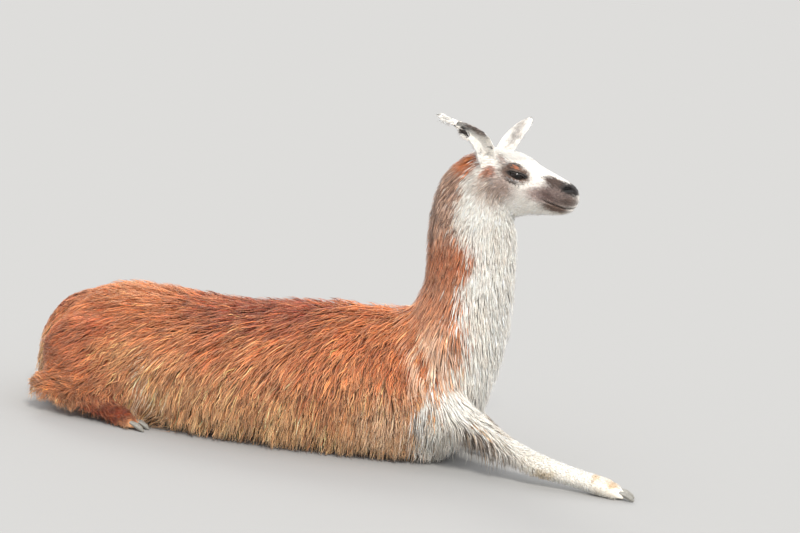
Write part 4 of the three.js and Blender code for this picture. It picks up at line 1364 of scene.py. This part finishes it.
@dataclass(frozen=True)
class HairFinish:
    """Grown hair: dry and fine, darkened at its roots as painted shade between the locks, and bleached at its tips.
    """

    name: str = "llama_hair"
    root_shade: float = 0.40
    tip: str = "#f2b683"
    tip_share: float = 0.30
    line_depth: float = 0.17
    roughness: float = 0.62

    def make(self) -> bpy.types.Material:
        """Builds the material from each lock's own colour and place."""
        material = blank_material(self.name)
        tree = material.node_tree
        tint = add_node(tree, "ShaderNodeAttribute", {"attribute_name": "tint"})
        lock = add_node(tree, "ShaderNodeAttribute", {"attribute_name": "lock"})
        parts = add_node(tree, "ShaderNodeSeparateXYZ", inputs={0: lock.outputs["Vector"]})
        # The roots are darkened as painted shade between the locks, deeper on brown hair, which takes in the light
        # that white hair scatters; brown tips are also bleached redder.
        colours = add_node(tree, "ShaderNodeSeparateColor", inputs={0: tint.outputs["Color"]})
        gap = add_node(
            tree,
            "ShaderNodeMath",
            {"operation": "SUBTRACT"},
            {0: colours.outputs["Red"], 1: colours.outputs["Blue"]},
        )
        brown = add_node(
            tree, "ShaderNodeMapRange", inputs={"Value": gap.outputs[0], "From Min": 0.10, "From Max": 0.26}
        )
        depth = add_node(
            tree,
            "ShaderNodeMapRange",
            inputs={"Value": brown.outputs[0], "To Min": 0.97, "To Max": self.root_shade},
        )
        rise = add_node(
            tree,
            "ShaderNodeMapRange",
            inputs={"Value": parts.outputs["X"], "From Max": 0.42, "To Min": depth.outputs[0], "To Max": 1.0},
        )
        # Hairs show as fine lines along the lock, about a millimetre apart.
        stretch = add_node(
            tree,
            "ShaderNodeVectorMath",
            {"operation": "MULTIPLY"},
            {0: lock.outputs["Vector"], 1: (0.9, 2.6, 61.0)},
        )
        lines = add_node(
            tree, "ShaderNodeTexNoise", inputs={"Vector": stretch.outputs[0], "Scale": 1.6, "Detail": 2.0}
        )
        streak = add_node(
            tree,
            "ShaderNodeMapRange",
            inputs={
                "Value": lines.outputs["Fac"],
                "From Min": 0.3,
                "From Max": 0.7,
                "To Min": 1 - self.line_depth,
                "To Max": 1 + self.line_depth,
            },
        )
        shade = add_node(
            tree, "ShaderNodeMath", {"operation": "MULTIPLY"}, {0: rise.outputs[0], 1: streak.outputs[0]}
        )
        dark = add_node(
            tree,
            "ShaderNodeVectorMath",
            {"operation": "SCALE"},
            {0: tint.outputs["Color"], "Scale": shade.outputs[0]},
        )
        # Sun and weather bleach the last third of each lock.
        tips = add_node(
            tree,
            "ShaderNodeMapRange",
            {"interpolation_type": "SMOOTHSTEP"},
            {"Value": parts.outputs["X"], "From Min": 0.45, "From Max": 1.0, "To Max": self.tip_share},
        )
        share = add_node(
            tree, "ShaderNodeMath", {"operation": "MULTIPLY"}, {0: tips.outputs[0], 1: brown.outputs[0]}
        )
        bleached = add_node(
            tree,
            "ShaderNodeMix",
            {"data_type": "RGBA"},
            {"Factor": share.outputs[0], 6: dark.outputs[0], 7: (*linear(self.tip), 1)},
        )
        bump = add_node(
            tree, "ShaderNodeBump", inputs={"Strength": 0.35, "Distance": 0.001, "Height": lines.outputs["Fac"]}
        )
        shader = add_node(
            tree,
            "ShaderNodeBsdfPrincipled",
            inputs={
                "Base Color": bleached.outputs[2],
                "Roughness": self.roughness,
                "IOR": 1.55,
                "Specular IOR Level": 0.35,
                "Sheen Weight": 0.12,
                "Sheen Roughness": 0.5,
                "Subsurface Weight": 0.40,
                "Subsurface Radius": (1.0, 0.85, 0.70),
                "Subsurface Scale": 0.004,
                "Normal": bump.outputs["Normal"],
            },
        )
        add_node(tree, "ShaderNodeOutputMaterial", inputs={"Surface": shader.outputs[0]})
        return material


@dataclass(frozen=True)
class SkinFinish:
    """Skin under short flat fur: soft and dull, with the fur's fine nap."""

    name: str = "short_fur_on_skin"
    nap_mm: float = 1.3

    def make(self) -> bpy.types.Material:
        """Builds the material from the skin's own colour."""
        material = blank_material(self.name)
        tree = material.node_tree
        tint = add_node(tree, "ShaderNodeAttribute", {"attribute_name": "tint"})
        place_ = add_node(tree, "ShaderNodeTexCoord")
        # The nap runs along the head and legs, so it is drawn out along the body.
        along = add_node(
            tree, "ShaderNodeMapping", inputs={"Vector": place_.outputs["Object"], "Scale": (0.22, 1.0, 1.0)}
        )
        nap = add_node(
            tree,
            "ShaderNodeTexNoise",
            inputs={"Vector": along.outputs[0], "Scale": 1000 / self.nap_mm / 2, "Detail": 3.0},
        )
        streak = add_node(
            tree,
            "ShaderNodeMapRange",
            inputs={
                "Value": nap.outputs["Fac"],
                "From Min": 0.3,
                "From Max": 0.7,
                "To Min": 0.72,
                "To Max": 1.18,
            },
        )
        shaded = add_node(
            tree,
            "ShaderNodeVectorMath",
            {"operation": "SCALE"},
            {0: tint.outputs["Color"], "Scale": streak.outputs[0]},
        )
        bump = add_node(
            tree, "ShaderNodeBump", inputs={"Strength": 0.5, "Distance": 0.0012, "Height": nap.outputs["Fac"]}
        )
        shader = add_node(
            tree,
            "ShaderNodeBsdfPrincipled",
            inputs={
                "Base Color": shaded.outputs[0],
                "Roughness": 0.68,
                "IOR": 1.45,
                "Specular IOR Level": 0.3,
                "Sheen Weight": 0.15,
                "Normal": bump.outputs["Normal"],
            },
        )
        add_node(tree, "ShaderNodeOutputMaterial", inputs={"Surface": shader.outputs[0]})
        return material


@dataclass(frozen=True)
class EyeFinish:
    """A wet eye: brown iris under a clear film, with a wide flat pupil."""

    centre: Spot
    name: str = "wet_eye"
    iris: str = "#22140d"
    rim: str = "#0d0806"
    pupil: str = "#050404"

    def make(self) -> bpy.types.Material:
        """Builds the material round the eye's own centre, the same on both sides."""
        material = blank_material(self.name)
        tree = material.node_tree
        place_ = add_node(tree, "ShaderNodeTexCoord")
        parts = add_node(tree, "ShaderNodeSeparateXYZ", inputs={0: place_.outputs["Object"]})
        side = add_node(tree, "ShaderNodeMath", {"operation": "ABSOLUTE"}, {0: parts.outputs["Y"]})
        both = add_node(
            tree,
            "ShaderNodeCombineXYZ",
            inputs={"X": parts.outputs["X"], "Y": side.outputs[0], "Z": parts.outputs["Z"]},
        )
        shift = add_node(
            tree,
            "ShaderNodeVectorMath",
            {"operation": "SUBTRACT"},
            {0: both.outputs[0], 1: (self.centre[0] + 0.004, self.centre[1] + 0.02, self.centre[2] - 0.001)},
        )
        # The pupil is a level bar about 14 mm long and 7 mm high.
        flatten = add_node(
            tree,
            "ShaderNodeVectorMath",
            {"operation": "MULTIPLY"},
            {0: shift.outputs[0], 1: (140.0, 30.0, 290.0)},
        )
        far = add_node(tree, "ShaderNodeVectorMath", {"operation": "LENGTH"}, {0: flatten.outputs[0]})
        hole = add_node(
            tree,
            "ShaderNodeMapRange",
            {"interpolation_type": "SMOOTHSTEP"},
            {"Value": far.outputs["Value"], "From Min": 0.85, "From Max": 1.15},
        )
        rays = add_node(
            tree, "ShaderNodeTexNoise", inputs={"Vector": shift.outputs[0], "Scale": 420.0, "Detail": 3.0}
        )
        iris = add_node(
            tree,
            "ShaderNodeMix",
            {"data_type": "RGBA"},
            {"Factor": rays.outputs["Fac"], 6: (*linear(self.rim), 1), 7: (*linear(self.iris), 1)},
        )
        colour = add_node(
            tree,
            "ShaderNodeMix",
            {"data_type": "RGBA"},
            {"Factor": hole.outputs[0], 6: (*linear(self.pupil), 1), 7: iris.outputs[2]},
        )
        shader = add_node(
            tree,
            "ShaderNodeBsdfPrincipled",
            inputs={
                "Base Color": colour.outputs[2],
                "Roughness": 0.05,
                "IOR": 1.376,
            },
        )
        add_node(tree, "ShaderNodeOutputMaterial", inputs={"Surface": shader.outputs[0]})
        return material


@dataclass(frozen=True)
class HornFinish:
    """Toenail horn: dull grey with fine growth lines across and streaks along it."""

    name: str = "toenail_horn"
    pale: str = "#96948c"
    dark: str = "#5b5954"

    def make(self) -> bpy.types.Material:
        """Builds the horn with streaks along X, the way that the toes point."""
        material = blank_material(self.name)
        tree = material.node_tree
        place_ = add_node(tree, "ShaderNodeTexCoord")
        along = add_node(
            tree, "ShaderNodeMapping", inputs={"Vector": place_.outputs["Object"], "Scale": (0.15, 1.0, 1.0)}
        )
        streaks = add_node(
            tree, "ShaderNodeTexNoise", inputs={"Vector": along.outputs[0], "Scale": 420.0, "Detail": 3.0}
        )
        colour = add_node(
            tree,
            "ShaderNodeMix",
            {"data_type": "RGBA"},
            {"Factor": streaks.outputs["Fac"], 6: (*linear(self.dark), 1), 7: (*linear(self.pale), 1)},
        )
        # Growth lines stand about two millimetres apart.
        rings = add_node(
            tree,
            "ShaderNodeTexWave",
            {"bands_direction": "X"},
            {"Vector": place_.outputs["Object"], "Scale": 78.0, "Distortion": 2.0, "Detail": 2.0},
        )
        bump = add_node(
            tree, "ShaderNodeBump", inputs={"Strength": 0.25, "Distance": 0.0006, "Height": rings.outputs["Fac"]}
        )
        shader = add_node(
            tree,
            "ShaderNodeBsdfPrincipled",
            inputs={
                "Base Color": colour.outputs[2],
                "Roughness": 0.5,
                "IOR": 1.54,
                "Normal": bump.outputs["Normal"],
            },
        )
        add_node(tree, "ShaderNodeOutputMaterial", inputs={"Surface": shader.outputs[0]})
        return material


# ---------------------------------------------------------------- studio


@dataclass(frozen=True)
class Lamp:
    """One broad far-off lamp, as even over the floor as a big soft box."""

    name: str
    at: Spot
    spread: float
    power: float
    colour: str

    def on_floor(self) -> np.ndarray:
        """Gives the light that falls on the level floor, in linear colour."""
        return np.array(linear(self.colour)) * self.power * unit(np.array(self.at))[2] / math.pi


@dataclass
class Studio:
    """A plain pale floor, soft light and the camera."""

    backdrop: str = "#dedddb"
    dome: str = "#fbfcff"
    dome_power: float = 1.35
    lamps: tuple[Lamp, ...] = (
        Lamp("key", (2.6, -6.0, 5.8), 14.0, 3.6, "#fffaf3"),
        Lamp("rim", (-4.0, 6.0, 6.0), 24.0, 0.9, "#fffdf8"),
    )
    lens: float = 85.0
    azimuth: float = 10.0
    elevation: float = 9.0
    roll: float = 6.6
    distance: float = 5.29
    sight: Spot = (0.32194724, 0.0, 0.5248076)

    def build(self) -> None:
        """Sets up the floor, the light and the camera."""
        self.lay_floor()
        self.light()
        self.aim_camera()

    def lay_floor(self) -> None:
        """Lays a wide matt floor that looks as pale as the backdrop once it is lit."""
        bpy.ops.object.select_all(action="DESELECT")
        bpy.ops.mesh.primitive_plane_add(size=400, location=(0, 0, 0))
        floor = bpy.context.object
        floor.name = "studio_floor"
        material = blank_material("matt_studio_floor")
        tree = material.node_tree
        seen = np.array(linear(self.backdrop))
        lit = np.array(linear(self.dome)) * self.dome_power + sum(lamp.on_floor() for lamp in self.lamps)
        shader = add_node(tree, "ShaderNodeBsdfDiffuse", inputs={"Color": (*(seen / lit), 1)})
        add_node(tree, "ShaderNodeOutputMaterial", inputs={"Surface": shader.outputs[0]})
        floor.data.materials.append(material)

    def light(self) -> None:
        """Hangs the lamps and fills the room with a pale even backdrop."""
        for lamp in self.lamps:
            bpy.ops.object.light_add(type="SUN", location=lamp.at)
            light = bpy.context.object
            light.name = lamp.name
            light.data.energy = lamp.power
            light.data.angle = math.radians(lamp.spread)
            light.data.color = linear(lamp.colour)
            light.rotation_euler = (-Vector(lamp.at)).to_track_quat("-Z", "Y").to_euler()
        world = bpy.data.worlds.new("studio")
        world.use_nodes = True
        world.node_tree.nodes.clear()
        # The backdrop that is seen is duller than the light that the dome throws.
        tree = world.node_tree
        seen = add_node(tree, "ShaderNodeBackground", inputs={"Color": (*linear(self.backdrop), 1)})
        thrown = add_node(
            tree,
            "ShaderNodeBackground",
            inputs={"Color": (*linear(self.dome), 1), "Strength": self.dome_power},
        )
        path = add_node(tree, "ShaderNodeLightPath")
        both = add_node(
            tree,
            "ShaderNodeMixShader",
            inputs={0: path.outputs["Is Camera Ray"], 1: thrown.outputs[0], 2: seen.outputs[0]},
        )
        add_node(tree, "ShaderNodeOutputWorld", inputs={"Surface": both.outputs[0]})
        bpy.context.scene.world = world
        bpy.context.scene.view_settings.view_transform = "Standard"

    def aim_camera(self) -> None:
        """Puts the camera at its place, turned and tilted."""
        turn, rise = math.radians(self.azimuth), math.radians(self.elevation)
        back = Vector((math.sin(turn) * math.cos(rise), -math.cos(turn) * math.cos(rise), math.sin(rise)))
        right = Vector((math.cos(turn), math.sin(turn), 0))
        up = back.cross(right)
        tilt = math.radians(self.roll)
        across = right * math.cos(tilt) + up * math.sin(tilt)
        upright = up * math.cos(tilt) - right * math.sin(tilt)
        bpy.ops.object.camera_add()
        camera = bpy.context.object
        camera.name = "camera"
        camera.data.lens = self.lens
        camera.data.sensor_width = 36.0
        turned = Matrix((across, upright, back)).transposed().to_4x4()
        camera.matrix_world = Matrix.Translation(Vector(self.sight) + back * self.distance) @ turned
        bpy.context.scene.camera = camera


# ---------------------------------------------------------------- the llama

LONG = Lock(steps=5)
WOOL = Lock(steps=5, flat=0.28, fullest=0.4, root=0.7)
SHORT = Lock(steps=3, fullest=0.4, root=0.7)

DOWN = {"curl": 0.0010, "clump": 0.012, "gather": 0.3, "even": 0.86, "stray": 0.06, "roll": 0.12, "soft": 0.6}
CURLS = {"curl": 0.0075, "clump": 0.018, "gather": 0.5, "stray": 0.2}
WISPS = {"lift": 21, "breadth": 0.6, "soft": 0.4, "loose": 0.5}
TUFT = {"lift": 42, "breadth": 0.7, "loose": 0.7}
NAP = {"curl": 0.0004, "clump": 0.007, "gather": 0.25, "soft": 0.4}

FLEECES: tuple[Fleece, ...] = (
    Fleece("coat_flank_right_rear", "coat_brown", (Zone.TRUNK,), LONG, -1, (-9, -0.12), gap=0.76),
    Fleece("coat_flank_right_front", "coat_brown", (Zone.TRUNK,), LONG, -1, (-0.12, 9), gap=0.84),
    Fleece("coat_flank_left_rear", "coat_brown", (Zone.TRUNK,), LONG, 1, (-9, -0.12), gap=0.84),
    Fleece("coat_flank_left_front", "coat_brown", (Zone.TRUNK,), LONG, 1, (-0.12, 9), gap=0.92),
    Fleece("coat_hind_right", "coat_brown", (Zone.HIND,), LONG, -1, gap=0.86, **CURLS),
    Fleece("coat_hind_left", "coat_brown", (Zone.HIND,), LONG, 1, gap=0.96, **CURLS),
    Fleece("coat_tail", "coat_brown", (Zone.TAIL,), LONG, gap=0.8),
    Fleece("coat_neck_right", "coat_cream", (Zone.NECK,), WOOL, -1, gap=0.95, **DOWN),
    Fleece("coat_neck_left", "coat_cream", (Zone.NECK,), WOOL, 1, gap=1.06, **DOWN),
    Fleece("coat_ruff", "coat_white", (Zone.NECK,), WOOL, 0, (0.58, 9), above=0.3, gap=1.7, **WISPS),
    Fleece("coat_nape", "coat_brown", (Zone.NECK,), LONG, 0, (-9, 0.50), above=0.54, gap=1.4, **WISPS),
    Fleece("coat_head", "coat_white", (Zone.HEAD,), SHORT, gap=1.12, **NAP),
    Fleece("coat_crown", "coat_white", (Zone.HEAD,), WOOL, 0, (0.49, 0.66), above=0.866, gap=1.1, **TUFT),
    Fleece("coat_tuft", "coat_brown", CHEEK, LONG, 0, (0.42, 0.505), above=0.83, gap=1.4, **TUFT),
    Fleece("coat_ears", "coat_white", EARS, SHORT, gap=1.1, **NAP),
    Fleece("coat_foreleg_right", "coat_cream", (Zone.FORE_RIGHT,), SHORT, gap=0.95, **NAP),
    Fleece("coat_foreleg_left", "coat_cream", (Zone.FORE_LEFT,), SHORT, **NAP),
)


def dress_solids(start: str, material: bpy.types.Material) -> None:
    """Gives a material to the frame's own solids whose names start in one way."""
    for name, solid in frame["nodes"].items():
        if name.startswith(start):
            solid.data.materials.clear()
            solid.data.materials.append(material)
            only(solid)
            bpy.ops.object.shade_smooth_by_angle(angle=math.radians(40))
            LOG.info("%s: %s", name, material.name)


def main() -> None:
    """Builds the skin, the coat, the finishes of eyes and nails, and the studio."""
    logging.basicConfig(level=logging.INFO, format="%(message)s")
    skin = Skin(Palette())
    skin.build()
    skin.dress(SkinFinish().make())
    LOG.info("skin: %d faces", len(skin.obj.data.polygons))
    hair = HairFinish().make()
    coat = Coat(skin)
    for fleece in FLEECES:
        coat.build(fleece, hair)
    coat.lashes(Fleece("lashes", "coat_brown", (Zone.HEAD,), SHORT), hair)
    dress_solids("eye", EyeFinish(skin.face.eye).make())
    dress_solids("nail", HornFinish().make())
    Studio().build()


if __name__ == "__main__":
    main()
